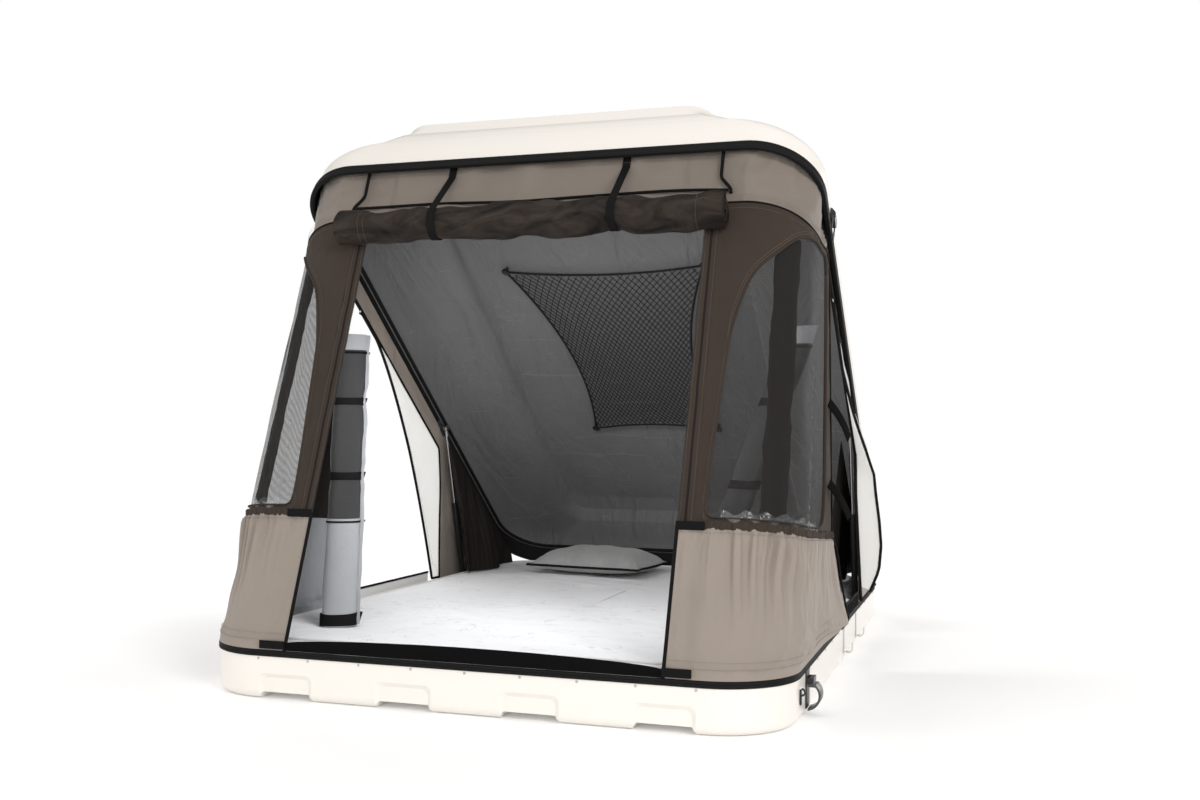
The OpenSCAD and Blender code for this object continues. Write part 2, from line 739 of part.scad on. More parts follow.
module storage_net() {
    color("black") lid_place() translate([0, 0, net_h]) difference() {
        union() {
            linear_extrude(net_t) difference() {
                net_outline();
                net_gaps();
            }
            for (u = [0, 1], v = [0, 1]) translate(net_at(u, v)) cylinder(r = tab_r, h = net_t);
        }
        for (u = [0, 1], v = [0, 1]) translate(net_at(u, v)) translate([0, 0, -1])
            cylinder(r = button_r + 0.5, h = net_t + 2);
    }
}
module net_hooks() {
    color("black") lid_place() for (u = [0, 1], v = [0, 1]) translate([0, 0, net_h]) translate(net_at(u, v)) {
        translate([0, 0, -4]) cylinder(r = button_r, h = net_drop + 4 - fit);
        translate([0, 0, -4]) cylinder(r = tab_r - 4, h = 4 - fit);
    }
}

// Bedding
module mattress() {
    edge_e = 0.16;
    // Set-in and height of each ring, from the underside up over the crown
    rings = [[14, 0], [2, 20], [0, 50], [6, 85], [14, mattress_t - 5], [60, mattress_t]];
    color("white") loft([
        for (r = rings) [for (a = [0:7.5:352.5]) [
            (bed_x - r[0]) * soft_power(cos(a), edge_e),
            (bed_y - r[0]) * soft_power(sin(a), edge_e),
            bed_z + r[1]
        ]]
    ]);
}
pillow_place = [-200, hy - 375, bed_top + fit];
module pillow() {
    // Share of the outline and of the height at each ring
    rings = [[0.55, 0], [0.86, 0.12], [1, 0.36], [0.93, 0.46], [0.72, 0.78], [0.42, 0.96], [0.12, 1]];
    color("darkgray") translate(pillow_place) rotate([0, 0, -6]) loft([
        for (r = rings) [for (a = [0:10:350]) [
            r[0] * pillow_w / 2 * soft_power(cos(a), mix(0.75, 0.42, r[0])) * (1 - 0.05 * pow(sin(2 * a), 2)),
            r[0] * pillow_l / 2 * soft_power(sin(a), mix(0.75, 0.42, r[0])) * (1 - 0.05 * pow(sin(2 * a), 2)),
            r[1] * pillow_t
        ]]
    ]);
}

// Cloth walls: straight lines from the rim of the tub to the inside of the lid, round the right half of the door end
// t runs from x0 on the door end, round the corner, to y1 on the side; v runs from the rim up to the lid
arc_start = 0.2;
arc_end = 0.6;
arc_steps = 8;
function arc_angle(t) = 90 * (t - arc_start) / (arc_end - arc_start);
function rim_line(t, x0, y1) =
    t < arc_start ? [mix(x0, rim_x - rim_r, t / arc_start), -rim_y, cloth_z]
    : t < arc_end ? [
        rim_x - rim_r + rim_r * sin(arc_angle(t)), -rim_y + rim_r - rim_r * cos(arc_angle(t)), cloth_z]
    : [rim_x, mix(-rim_y + rim_r, y1, (t - arc_end) / (1 - arc_end)), cloth_z];
function lid_line(t, x0, y1) =
    t < arc_start ? lid_at(mix(x0, top_x - top_r, t / arc_start), top_reach, top_h)
    : t < arc_end ? lid_at(
        top_x - top_r + top_r * sin(arc_angle(t)), top_reach - top_r + top_r * cos(arc_angle(t)), top_h)
    : let (s = (t - arc_end) / (1 - arc_end))
        lid_at(top_x, mix(top_reach - top_r, lid_reach(y1, strip_h), s), mix(top_h, strip_h, s));
function wall_at(t, v, x0, y1) = mix(rim_line(t, x0, y1), lid_line(t, x0, y1), v);
function wall_out(t) =
    t <= arc_start ? [0, -1, 0] : t >= arc_end ? [1, 0, 0] : [sin(arc_angle(t)), -cos(arc_angle(t)), 0];
function stations(near, side) = concat(
    [for (i = [0:near - 1]) arc_start * i / near],
    [for (i = [0:arc_steps - 1]) arc_start + (arc_end - arc_start) * i / arc_steps],
    [for (i = [0:side]) arc_end + (1 - arc_end) * i / side]);
function flip(p, s) = [s * p[0], p[1], p[2]];

// Slope length of the door end, and the heights on it of the header's lower edge and the skirt's upper edge
slope = norm(lid_line(0, 0, 0) - rim_line(0, 0, 0));
seam_v = seam / 2 / slope;
skirt_v = skirt_d / slope;
zip_top_v = 1 - (header_d + 50) / slope;
side_y = -side_door_near;
panel_x = door_w / 2 + zip_w + seam;
// The header narrows along the side until it is as deep as the side panel's strip
function header_v(t) = 1 - mix(header_d, strip_d, ease(2 * t - 1)) / slope;

module header_band() {
    half = stations(4, 3);
    ts = concat([for (i = [len(half) - 1:-1:1]) -half[i]], half);
    rows = 4;
    mid = [for (i = [0:rows]) [for (t = ts)
        flip(wall_at(abs(t), mix(header_v(abs(t)) + seam_v, 1, i / rows), 0, side_y - seam), t < 0 ? -1 : 1)]];
    out = [for (i = [0:rows]) [for (t = ts) flip(wall_out(abs(t)), t < 0 ? -1 : 1)]];
    color("tan") cloth(mid, out);
}

// Window in a corner panel: its near edge leans back from the zip and its arched top climbs towards the side
window_tf = 0.08;
window_t0 = 0.25;
window_t1 = 0.86;
window_foot_v = skirt_v + window_foot / slope;
function window_v(t) =
    header_v(t) - (window_head + window_climb * pow(1 - ease((t - window_t0) / 0.34), 2)) / slope;
panel_ts = [for (t = stations(1, 3)) t];
function window_t(s, k, n) = mix(mix(window_tf, window_t0, s), window_t1, k / n);
module corner_panel() {
    n = len(panel_ts) - 1;
    sides = 6;
    foot = [for (k = [0:n - 1]) [panel_ts[k], skirt_v + seam_v]];
    foot_in = [for (k = [0:n - 1]) [window_t(0, k, n), window_foot_v]];
    far = [for (i = [0:sides - 1]) [1, mix(skirt_v + seam_v, header_v(1) - seam_v, i / sides)]];
    far_in = [for (i = [0:sides - 1]) [window_t1, mix(window_foot_v, window_v(window_t1), i / sides)]];
    top = [for (k = [n:-1:1]) [panel_ts[k], header_v(panel_ts[k]) - seam_v]];
    top_in = [for (k = [n:-1:1]) [window_t(1, k, n), window_v(window_t(1, k, n))]];
    near = [for (i = [0:sides - 1]) [0, mix(header_v(0) - seam_v, skirt_v + seam_v, i / sides)]];
    near_in = [for (i = [0:sides - 1])
        [window_t(1 - i / sides, 0, n), mix(window_v(window_t0), window_foot_v, i / sides)]];
    outer = concat(foot, far, top, near);
    inner = concat(foot_in, far_in, top_in, near_in);
    cloth_frame(
        [for (p = outer) wall_at(p[0], p[1], panel_x, side_y)],
        [for (p = inner) wall_at(p[0], p[1], panel_x, side_y)],
        [for (p = outer) wall_out(p[0])],
        [for (p = inner) wall_out(p[0])]);
}
module window_mesh() {
    n = len(panel_ts) - 1;
    rows = 6;
    gap_t = 0.6 * seam / 400;
    ts = [for (i = [0:rows]) [for (k = [0:n]) window_t(i / rows, k, n) + gap_t * (1 - 2 * k / n)]];
    tops = [for (k = [0:n]) window_v(window_t(1, k, n)) - 1.5 * seam_v];
    mid = [for (i = [0:rows]) [for (k = [0:n])
        wall_at(ts[i][k], mix(window_foot_v + seam_v, tops[k], i / rows), panel_x, side_y)]];
    out = [for (i = [0:rows]) [for (k = [0:n]) wall_out(ts[i][k])]];
    cloth(mid, out);
}
module corner_panel_right() {
    color("saddlebrown") corner_panel();
}
module corner_panel_left() {
    color("saddlebrown") mirror([1, 0, 0]) corner_panel();
}
module window_mesh_right() {
    color("gray", 0.5) window_mesh();
}
module window_mesh_left() {
    color("gray", 0.5) mirror([1, 0, 0]) window_mesh();
}

// Skirts below the windows, gathered at the top, with the far bottom corner hanging loose
skirt_x = door_w / 2 + 2;
skirt_far = 90;
module corner_skirt() {
    ts = stations(5, 8);
    rows = 5;
    // The gathers are deepest under the seam and fade towards the rim
    function fold(t, v) = gather * sin(2600 * t) * (0.25 + 0.75 * v) * ease(8 * v) * ease(12 * (1 - v));
    function flare(t, v) = 34 * ease((t - 0.82) / 0.18) * (1 - v) * ease(4 * v + 0.4);
    mid = [for (i = [0:rows]) let (v = i / rows) [for (t = ts)
        wall_at(t, v * (skirt_v - seam_v), skirt_x, side_y + skirt_far * (1 - v))
        + (fold(t, v) + flare(t, v)) * wall_out(t)]];
    out = [for (i = [0:rows]) [for (t = ts) wall_out(t)]];
    cloth(mid, out);
}
module corner_skirt_right() {
    color("tan") corner_skirt();
}
module corner_skirt_left() {
    color("tan") mirror([1, 0, 0]) corner_skirt();
}

// Zip tape along the doorway, above the skirt
module door_zip() {
    xs = [door_w / 2, door_w / 2 + zip_w];
    rows = 8;
    vs = [for (i = [0:rows]) mix(skirt_v + seam_v, zip_top_v, i / rows)];
    mid = [for (v = vs) [for (x = xs) wall_at(0, v, x, side_y)]];
    out = [for (v = vs) [for (x = xs) [0, -1, 0]]];
    cloth(mid, out);
}
module door_zip_right() {
    color("saddlebrown") door_zip();
}
module door_zip_left() {
    color("saddlebrown") mirror([1, 0, 0]) door_zip();
}

// Rolled window covers behind the windows
cover_t = 0.42;
cover_ru = 42;
cover_rw = 17;
module window_cover() {
    out = wall_out(cover_t);
    along = [-out[1], out[0], 0];
    back = -(cloth_t / 2 + seam + 1.1 * cover_rw) * out;
    low = wall_at(cover_t, skirt_v + 0.02, panel_x, side_y) + back;
    high = wall_at(cover_t, header_v(cover_t) - 0.05, panel_x, side_y) + back;
    bundle(low, high, along, -out, cover_ru, cover_rw, [0.35, 0.75], 12);
}
module window_cover_right() {
    color("dimgray") window_cover();
}
module window_cover_left() {
    color("dimgray") mirror([1, 0, 0]) window_cover();
}

// Rolled side doors: they stand on the mattress beside the near edge of the side doorway
side_roll_w = 32;
roll_foot = [bed_x - side_roll_in, side_y - 50 - side_roll_lean, bed_top + fit];
roll_head = [tub_x - 16 - 0.92 * side_roll_r, side_y - 50, bed_top + side_roll_h];
module side_roll() {
    bundle(roll_foot, roll_head, [0.8, -0.6, 0], [0.6, 0.8, 0], side_roll_r, side_roll_w, [0.3, 0.62, 0.86], 14);
}
module side_roll_right() {
    color("silver") side_roll();
}
module side_roll_left() {
    color("silver") mirror([1, 0, 0]) side_roll();
}
// Touch tape ties on the corner panels, hanging loose
tie_w = 25;
tie_l = 130;
tie_t = 0.92;
tie_turn = 68;
tie_droop = 38;
module side_ties() {
    // The inner corner of the tie's end rests on the panel
    stand = seam + cloth_t / 2 * (1 + sin(tie_turn)) + tie_w / 2 * sin(tie_droop) * cos(tie_turn);
    color("black") both_sides() for (v = [0.38, 0.58])
        translate(wall_at(tie_t, v, panel_x, side_y) + stand * wall_out(tie_t))
            rotate([0, 0, tie_turn]) rotate([0, tie_droop, 0])
                translate([0, -cloth_t / 2, -tie_w / 2]) cube([tie_l, cloth_t, tie_w]);
}

// Side panels: a strip below the lid that widens to the rim behind the side doorway
panel_end = hy - corner_r + 30;
function strip_top(y) = lid_at(0, lid_reach(y, strip_h), strip_h)[2];
function strip_low(y) =
    mix(strip_top(y) - strip_d, cloth_z, ease((y - side_door_far + 50) / 50));
panel_ys = concat(
    [for (i = [0:7]) mix(side_y, side_door_far - 50, i / 7)],
    [for (i = [1:5]) side_door_far - 50 + 10 * i],
    [for (i = [1:4]) mix(side_door_far, panel_end, i / 4)]);
// The side wall comes in under the lid at two thirds of its height
function side_x(y, z) = mix(rim_x, top_x, min(1, 1.5 * (z - cloth_z) / (strip_top(y) - cloth_z)));
module side_panel() {
    rows = 3;
    mid = [for (i = [0:rows]) [for (y = panel_ys)
        let (z = mix(strip_low(y), strip_top(y), i / rows)) [side_x(y, z), y, z]]];
    out = [for (i = [0:rows]) [for (y = panel_ys) [1, 0, 0]]];
    cloth(mid, out);
}
module side_panel_right() {
    color("tan") side_panel();
}
module side_panel_left() {
    color("tan") mirror([1, 0, 0]) side_panel();
}

// Flaps in the upper corner of the side doorways: one hangs in the wall, the other is folded and bulges outwards
flap_y0 = side_y + 80;
flap_y1 = side_door_far - 52;
flap_ys = concat(
    [for (i = [0:8]) mix(flap_y0, flap_y1 - 30, i / 8)],
    [for (y = panel_ys) if (y > flap_y1 && y < side_door_far - 5) y]);
// The free edge runs in a shallow bow from the top of the doorway to the rim
flap_run = side_door_far - 6 - flap_y0;
function flap_low(y) =
    mix(strip_low(flap_y0) - 14, cloth_z + 10, pow(max(0, min(1, (y - flap_y0) / flap_run)), 1.2));
module side_flap(share, bulge) {
    rows = 4;
    // Each column hangs from the strip's edge, by its share of the way to the free edge
    mid = [for (i = [rows:-1:0]) [for (y = flap_ys)
        let (
            edge = strip_low(y) - seam,
            s = i / rows,
            z = max(cloth_z + 6, edge - s * share * max(6, edge - flap_low(y))),
            swell = bulge * sin(180 * ease((y - flap_y0) / (side_door_far - flap_y0))) * sin(90 * s))
        [side_x(y, z) + swell, y, min(z, edge)]]];
    out = [for (i = [0:rows]) [for (y = flap_ys) [1, 0, 0]]];
    cloth(mid, out);
}
module side_flap_right() {
    color("whitesmoke") side_flap(flap_fold, flap_bulge);
}
module side_flap_left() {
    color("whitesmoke") mirror([1, 0, 0]) side_flap(1, 0);
}

// Sill bands on the rim: one in the doorway and one in each side doorway
module door_sill() {
    lean = 8;
    w = door_w - 2;
    arch = [for (i = [0:16]) [w * (1 - i / 16), mix(sill_end_h, sill_h, sqrt(sin(180 * i / 16)))]];
    color("black") translate([-w / 2, -rim_y - cloth_t, cloth_z + 2 * cloth_t * sin(lean)]) rotate([-lean, 0, 0])
        translate([0, 2 * cloth_t, 0]) rotate([90, 0, 0]) linear_extrude(2 * cloth_t)
            polygon(concat([[0, 0], [w, 0]], arch));
}
module side_sills() {
    near = side_y + skirt_far + 8;
    color("black") both_sides() translate([rim_x - cloth_t / 2, near, cloth_z])
        cube([cloth_t, side_door_far - 90 - near, side_sill_h]);
}
// White lining between the rim and the mattress
module inner_skirts() {
    color("white") both_sides() translate([tub_x - wall - seam, -tub_y + tub_r + 60, tub_h - 2])
        rotate([0, 32, 0]) translate([-30, 0, -cloth_t])
            cube([30, strut_base[1] - 190 + tub_y - tub_r - 60, cloth_t]);
}
// Black sleeves that hide the struts
module strut_sleeve() {
    rows = 5;
    cols = 7;
    mid = [for (i = [0:rows]) [for (j = [0:cols])
        let (
            s = j / cols,
            low = [bed_x - 60 + 22 * sin(540 * s), strut_base[1] - 130 + 390 * s, bed_top + fit],
            high = lid_at(strut_x - strut_r - 9 - cloth_t, mix(strut_head + 10, 170, s), -12))
        mix(low, high, i / rows)]];
    out = [for (i = [0:rows]) [for (j = [0:cols]) [1, 0, 0]]];
    color("black") cloth(mid, out);
}
module strut_sleeve_right() {
    strut_sleeve();
}
module strut_sleeve_left() {
    mirror([1, 0, 0]) strut_sleeve();
}
module hinge_gusset() {
    half = tub_x - tub_r;
    color("tan") translate([-half, tub_y - wall + 0.5, tub_h + fit]) cube([2 * half, 2.5, 13]);
}

// Door roll: the door rolled up under the header, held by two straps
roll_strap_t = 2;
roll_t = 13;
roll_pitch = 14.5;
roll_turns = 2;
roll_start = 80;
roll_steps = 14;
roll_v = 1 - (header_d + roll_drop) / slope;
// The roll's spiral is narrower towards the wall
roll_out = roll_r - 0.72 * roll_pitch + 4;
roll_axis = wall_at(0, roll_v, 0, side_y) + [0, -roll_out * cos(atan(0.36)), roll_out * sin(atan(0.36))];
function roll_grip(x) = 1 - 0.1 * exp(-pow(max(0, abs(abs(x) - strap_x) - strap_w / 2 - 1) / 38, 2));
function roll_sag(x) = -7 * pow(sin(180 * min(1, abs(abs(x) - strap_x) / (roll_l / 2 - strap_x))), 2) * 0.5;
module door_roll() {
    n = roll_turns * roll_steps;
    strap_in = strap_x - strap_w / 2 - 1;
    strap_end = strap_x + strap_w / 2 + 1;
    half = concat(
        [0.35 * strap_in, 0.75 * strap_in, strap_in, strap_end],
        [for (s = [0.35, 0.7, 0.92, 1]) mix(strap_end, roll_l / 2, s)]);
    xs = concat(reversed(-half), half);
    section = concat(
        [for (i = [0:n]) [roll_r - roll_pitch * i / roll_steps, roll_start + 360 * i / roll_steps]],
        [for (i = [n:-1:0]) [roll_r - roll_pitch * i / roll_steps - roll_t, roll_start + 360 * i / roll_steps]]);
    m = len(section);
    points = [for (x = xs) for (p = section)
        roll_axis + [x, p[0] * roll_grip(x) * cos(p[1]), p[0] * roll_grip(x) * sin(p[1]) + roll_sag(x)]];
    last = (len(xs) - 1) * m;
    walls = [for (i = [0:len(xs) - 2], k = [0:m - 1])
        let (k1 = (k + 1) % m, a = i * m + k, d = i * m + k1)
        each [[a, a + m, d + m], [a, d + m, d]]];
    caps = [for (k = [0:n - 1]) let (a = k, b = k + 1, c = m - 2 - k, d = m - 1 - k)
        each [[a, b, c], [a, c, d], [last + c, last + b, last + a], [last + d, last + c, last + a]]];
    color("dimgray") polyhedron(points, concat(walls, caps));
}
module roll_straps() {
    // The strap comes down inside the lid along the header, and leaves it below the lid's rim
    lead = wall_at(0, 0.99, 0, side_y) - [0, cloth_t / 2 + seam, 0];
    top = wall_at(0, 0.952, 0, side_y) - [0, cloth_t / 2 + seam, 0];
    centre = [roll_axis[1], roll_axis[2]];
    d = [top[1], top[2]] - centre;
    // It runs along a tangent to the roll and follows it round its front
    function reach(a) = (1.012 * roll_r - roll_pitch * (a - roll_start) / 360) * roll_grip(strap_x) + seam;
    start = atan2(d[1], d[0]) + acos(reach(110) / norm(d));
    arc = [for (i = [0:12]) mix(start, 300, i / 12)];
    function dir(a) = [cos(a), sin(a)];
    line = concat(
        [for (p = [lead, top]) [p[1], p[2]] + roll_strap_t * dir(start)],
        [for (a = arc) centre + (reach(a) + roll_strap_t) * dir(a)],
        [for (a = reversed(arc)) centre + reach(a) * dir(a)],
        [for (p = [top, lead]) [p[1], p[2]]]);
    color("black") for (x = [-strap_x, strap_x]) translate([x - strap_w / 2, 0, 0])
        rotate([90, 0, 90]) linear_extrude(strap_w) polygon(line);
}

base_shell();
rim_hem();
rim_rivets();
mounting_rails();
hinge_base_leaves();
hinge_pins();
hinge_lid_leaves();
latch_plates();
latch_lever_left();
latch_lever_right();
latch_catches();
bail_ring_left();
bail_ring_right();
lock_eye();
ladder_hooks();
strut_base_brackets();
strut_cylinder_left();
strut_cylinder_right();
strut_rod_left();
strut_rod_right();
strut_lid_brackets();
lid_shell();
lid_liner();
lid_seal();
storage_net();
net_hooks();
mattress();
pillow();
header_band();
door_roll();
roll_straps();
door_zip_left();
door_zip_right();
corner_panel_left();
corner_panel_right();
window_mesh_left();
window_mesh_right();
corner_skirt_left();
corner_skirt_right();
window_cover_left();
window_cover_right();
side_panel_left();
side_panel_right();
side_flap_left();
side_flap_right();
side_roll_left();
side_roll_right();
side_ties();
door_sill();
side_sills();
inner_skirts();
strut_sleeve_left();
strut_sleeve_right();
hinge_gusset();
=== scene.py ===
import math

import bmesh
import bpy
import numpy as np
from mathutils import Matrix, Vector


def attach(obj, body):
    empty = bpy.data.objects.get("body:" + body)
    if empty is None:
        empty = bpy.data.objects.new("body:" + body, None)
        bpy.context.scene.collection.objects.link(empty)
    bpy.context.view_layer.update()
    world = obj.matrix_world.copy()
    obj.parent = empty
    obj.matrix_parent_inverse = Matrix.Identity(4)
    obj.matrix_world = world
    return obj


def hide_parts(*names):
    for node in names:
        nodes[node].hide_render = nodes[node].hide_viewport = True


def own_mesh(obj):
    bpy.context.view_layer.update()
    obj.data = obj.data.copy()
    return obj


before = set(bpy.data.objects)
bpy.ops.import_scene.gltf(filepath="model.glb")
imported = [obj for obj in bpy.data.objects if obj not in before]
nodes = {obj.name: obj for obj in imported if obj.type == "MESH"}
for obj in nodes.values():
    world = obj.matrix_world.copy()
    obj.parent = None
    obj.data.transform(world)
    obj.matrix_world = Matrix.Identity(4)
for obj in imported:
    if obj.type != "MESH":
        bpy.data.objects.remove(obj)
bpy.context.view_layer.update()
scene = bpy.context.scene

# Sizes shared with the solids, in metres
HX, HY, CORNER = 0.710, 0.975, 0.180
HEM, FIT, WALL = 0.004, 0.0003, 0.009
TUB_X, TUB_Y, TUB_R = HX - HEM - FIT, HY - HEM - FIT, CORNER - HEM - FIT
TUB_H, FLOOR, TUB_EDGE = 0.112, 0.030, 0.022
RIM = TUB_H + 0.002
HEM_Z = RIM - 0.015
HINGE_Y, HINGE_Z = HY + 0.009, RIM + 0.0048
OPEN = math.radians(37.4)
LID_FAR, LID_NEAR = 0.009 + HEM + FIT, 0.009 + 2 * HY - HEM - FIT
LID_RISE, LID_WALL, SHOULDER, LEDGE = 0.207, 0.068, 0.118, 0.145
LINER_GAP, LINER_T = WALL + 0.0006, 0.004
CLOTH, SEAM = 0.0015, 0.0004
CLOTH_Z = RIM + 0.0006
RIM_X, RIM_Y, RIM_R = HX - 0.002, HY - 0.002, CORNER - 0.002
TOP_SET = 0.0019
TOP_X, TOP_REACH, TOP_R = TUB_X - WALL - TOP_SET - 0.0004, LID_NEAR - WALL - TOP_SET - 0.001, TUB_R - WALL - TOP_SET
LINER_FOOT = LID_WALL - LINER_GAP - LINER_T - 0.002
TOP_H, STRIP_H = LINER_FOOT - 0.006, 0.012
BED_X, BED_Y = 0.660, 0.9357
BED_Z, BED_TOP = FLOOR + FIT, FLOOR + FIT + 0.108
SIDE_Y, SIDE_FAR = -0.280, 0.396
DOOR, ZIP = 0.450, 0.034
PANEL_X = DOOR + ZIP + SEAM
SKIRT, STRUT_Y = 0.330, HINGE_Y - 0.450
ROLL_HALF, ROLL_R, STRAP_X = 0.505, 0.046, 0.235
CORNER_LEAN = 0.45
# Stations along a wall where its corner starts and ends, and where the rolled window cover hangs
BEND, UNBEND, COVER_T = 0.2, 0.6, 0.42


# Shader maths
class Sock:
    """A socket whose operators add Math nodes."""

    def __init__(self, tree, socket):
        self.tree, self.socket = tree, socket

    def _math(self, operation, *values):
        n = self.tree.nodes.new("ShaderNodeMath")
        n.operation = operation
        for i, v in enumerate(values):
            if isinstance(v, Sock):
                self.tree.links.new(v.socket, n.inputs[i])
            else:
                n.inputs[i].default_value = v
        return Sock(self.tree, n.outputs[0])

    def __rsub__(self, o):
        return self._math("SUBTRACT", o, self)


OPERATIONS = {
    "__add__": "ADD", "__radd__": "ADD", "__sub__": "SUBTRACT", "__mul__": "MULTIPLY", "__rmul__": "MULTIPLY",
    "sin": "SINE", "power": "POWER", "abs": "ABSOLUTE", "high": "MAXIMUM",
}
for word, operation in OPERATIONS.items():
    setattr(Sock, word, lambda self, *values, operation=operation: self._math(operation, self, *values))


class Finish:
    """A procedural material: one Principled shader and the nodes that feed it."""

    def __init__(self, name, **sockets):
        self.mat = bpy.data.materials.new(name)
        self.mat.use_nodes = True
        self.tree = self.mat.node_tree
        self.tree.nodes.clear()
        self.out = self.tree.nodes.new("ShaderNodeOutputMaterial")
        self.bsdf = self.tree.nodes.new("ShaderNodeBsdfPrincipled")
        self.tree.links.new(self.bsdf.outputs[0], self.out.inputs[0])
        self.set(**sockets)

    def node(self, kind, settings=None, out=0, **sockets):
        n = self.tree.nodes.new("ShaderNode" + kind)
        for k, v in (settings or {}).items():
            setattr(n, k, v)
        for k, v in sockets.items():
            self._feed(n.inputs[int(k[1:]) if k[0] == "i" and k[1:].isdigit() else k.replace("_", " ")], v)
        return Sock(self.tree, n.outputs[out])

    def _feed(self, socket, v):
        if isinstance(v, Sock):
            self.tree.links.new(v.socket, socket)
        elif isinstance(v, (tuple, list)) and len(v) == 3 and socket.type == "RGBA":
            socket.default_value = (*v, 1)
        else:
            socket.default_value = v

    def set(self, **sockets):
        for k, v in sockets.items():
            self._feed(self.bsdf.inputs[k.replace("_", " ")], v)
        return self

    def place(self, scale=(1, 1, 1), turn=(0, 0, 0), kind="Object"):
        c = self.node("TexCoord", out={"Object": 3, "UV": 2}[kind])
        if scale == (1, 1, 1) and turn == (0, 0, 0):
            return c
        return self.node("Mapping", Vector=c, Scale=scale, Rotation=turn)

    def noise(self, at, scale, detail=3.0, rough=0.55, warp=0.0):
        return self.node("TexNoise", Vector=at, Scale=scale, Detail=detail, Roughness=rough, Distortion=warp)

    def span(self, value, low, high, to_low=0.0, to_high=1.0):
        return self.node(
            "MapRange", {"interpolation_type": "SMOOTHSTEP"}, Value=value,
            i1=low, i2=high, i3=to_low, i4=to_high)

    def mix(self, share, a, b):
        return self.node("Mix", {"data_type": "RGBA"}, out=2, i0=share, i6=a, i7=b)

    def axes(self, at):
        n = self.tree.nodes.new("ShaderNodeSeparateXYZ")
        self.tree.links.new(at.socket, n.inputs[0])
        return [Sock(self.tree, o) for o in n.outputs]

    def bump(self, height, distance, strength=1.0):
        return self.set(Normal=self.node("Bump", Strength=strength, Distance=distance, Height=height))


def shade(c, k):
    return tuple(min(1.0, x * k) for x in c)


# Finishes
def gel_coat(name, tint):
    f = Finish(name, Coat_Weight=0.25, Coat_Roughness=0.12, IOR=1.5)
    at = f.place()
    cloud = f.noise(at, 2.2, 4)
    peel = f.noise(at, 240, 2)
    dust = f.span(f.noise(at, 26, 5, 0.7), 0.52, 0.80)
    f.set(Base_Color=f.mix(cloud * 0.5 + dust * 0.25, tint, shade(tint, 0.955)))
    f.set(Roughness=0.26 + cloud * 0.10 + dust * 0.08)
    return f.bump(peel * 0.35 + cloud, 0.0007, 0.35).mat


def moulded(name, tint, rough=0.45, grain=900, depth=0.0003, gloss=0.5):
    f = Finish(name, Specular_IOR_Level=gloss)
    at = f.place()
    fine = f.noise(at, grain, 2)
    cloud = f.noise(at, 9, 4)
    f.set(Base_Color=f.mix(cloud, shade(tint, 0.8), shade(tint, 1.35)), Roughness=rough - 0.08 + cloud * 0.16)
    return f.bump(fine, depth, 0.5).mat


def metal(name, tint, rough, brush=(400, 6, 400)):
    f = Finish(name, Metallic=1.0)
    at = f.place(scale=brush)
    lines = f.noise(at, 1.0, 3)
    smear = f.noise(f.place(), 14, 4)
    f.set(Base_Color=f.mix(smear * 0.5, tint, shade(tint, 0.8)), Roughness=rough + lines * 0.14 + smear * 0.06)
    return f.bump(lines, 0.00012, 0.3).mat


def woven(name, tint, deep, thread=0.0011, rough=0.86, sheen=0.25, wrinkle=0.35, gloss=0.28, through=0.0, folds=7.5,
          deep_by=0.0016, run=(1, 1, 0.55), crease_shading=0.0):
    """Plain weave on the cloth's own map, in metres, with faint creases, patchy tone and, where asked, painted shade
    and light along the creases.
    """
    f = Finish(name, Sheen_Weight=sheen, Sheen_Roughness=0.5, Specular_IOR_Level=gloss)
    uv = f.place(kind="UV")
    u, v, _ = f.axes(uv)
    k = math.pi / thread
    warp = (u * k).sin() * (v * k).sin()
    at = f.place()
    patch = f.noise(at, 3.2, 5, 0.62)
    fleck = f.noise(at, 420, 2)
    crease = f.noise(f.place(scale=run), folds, 5, 0.6, 1.4)
    fold = 1 - (crease - 0.5).abs() * 5.5
    # The crease term paints shade into the low parts of the creases and light onto the raised parts
    tone = patch * 0.75 + fleck * 0.22 + warp * 0.10 + (crease - 0.5) * crease_shading
    f.set(Base_Color=f.mix(tone, deep, tint), Roughness=rough - 0.05 + patch * 0.12)
    if through:
        # Thin cloth that the light behind it shines through
        glow = f.node("BsdfTranslucent", Color=tint)
        blend = f.node("MixShader", i0=through, i1=Sock(f.tree, f.bsdf.outputs[0]), i2=glow)
        f.tree.links.new(blend.socket, f.out.inputs[0])
    return f.bump(warp * 0.16 + fleck * 0.2 + fold.high(0.0) * wrinkle + crease * wrinkle, deep_by, 0.5).mat


def tent_mesh(name, tint, open_share, cell=0.0032):
    """Fine insect mesh: threads on the cloth's own map and clear gaps between them."""
    f = Finish(name, Roughness=0.7, Specular_IOR_Level=0.3)
    uv = f.place(kind="UV")
    u, v, _ = f.axes(uv)
    k = 2 * math.pi / cell
    gap = ((u * k).sin() * 0.5 + 0.5) * ((v * k).sin() * 0.5 + 0.5)
    drift = f.noise(f.place(), 4.5, 4)
    f.set(Base_Color=f.mix(drift, shade(tint, 0.7), shade(tint, 1.25)))
    f.set(Alpha=1 - open_share * (f.span(gap, 0.0, 0.55) * 0.75 + 0.25) * (0.86 + drift * 0.28))
    return f.bump(gap, 0.0004, 0.4).mat


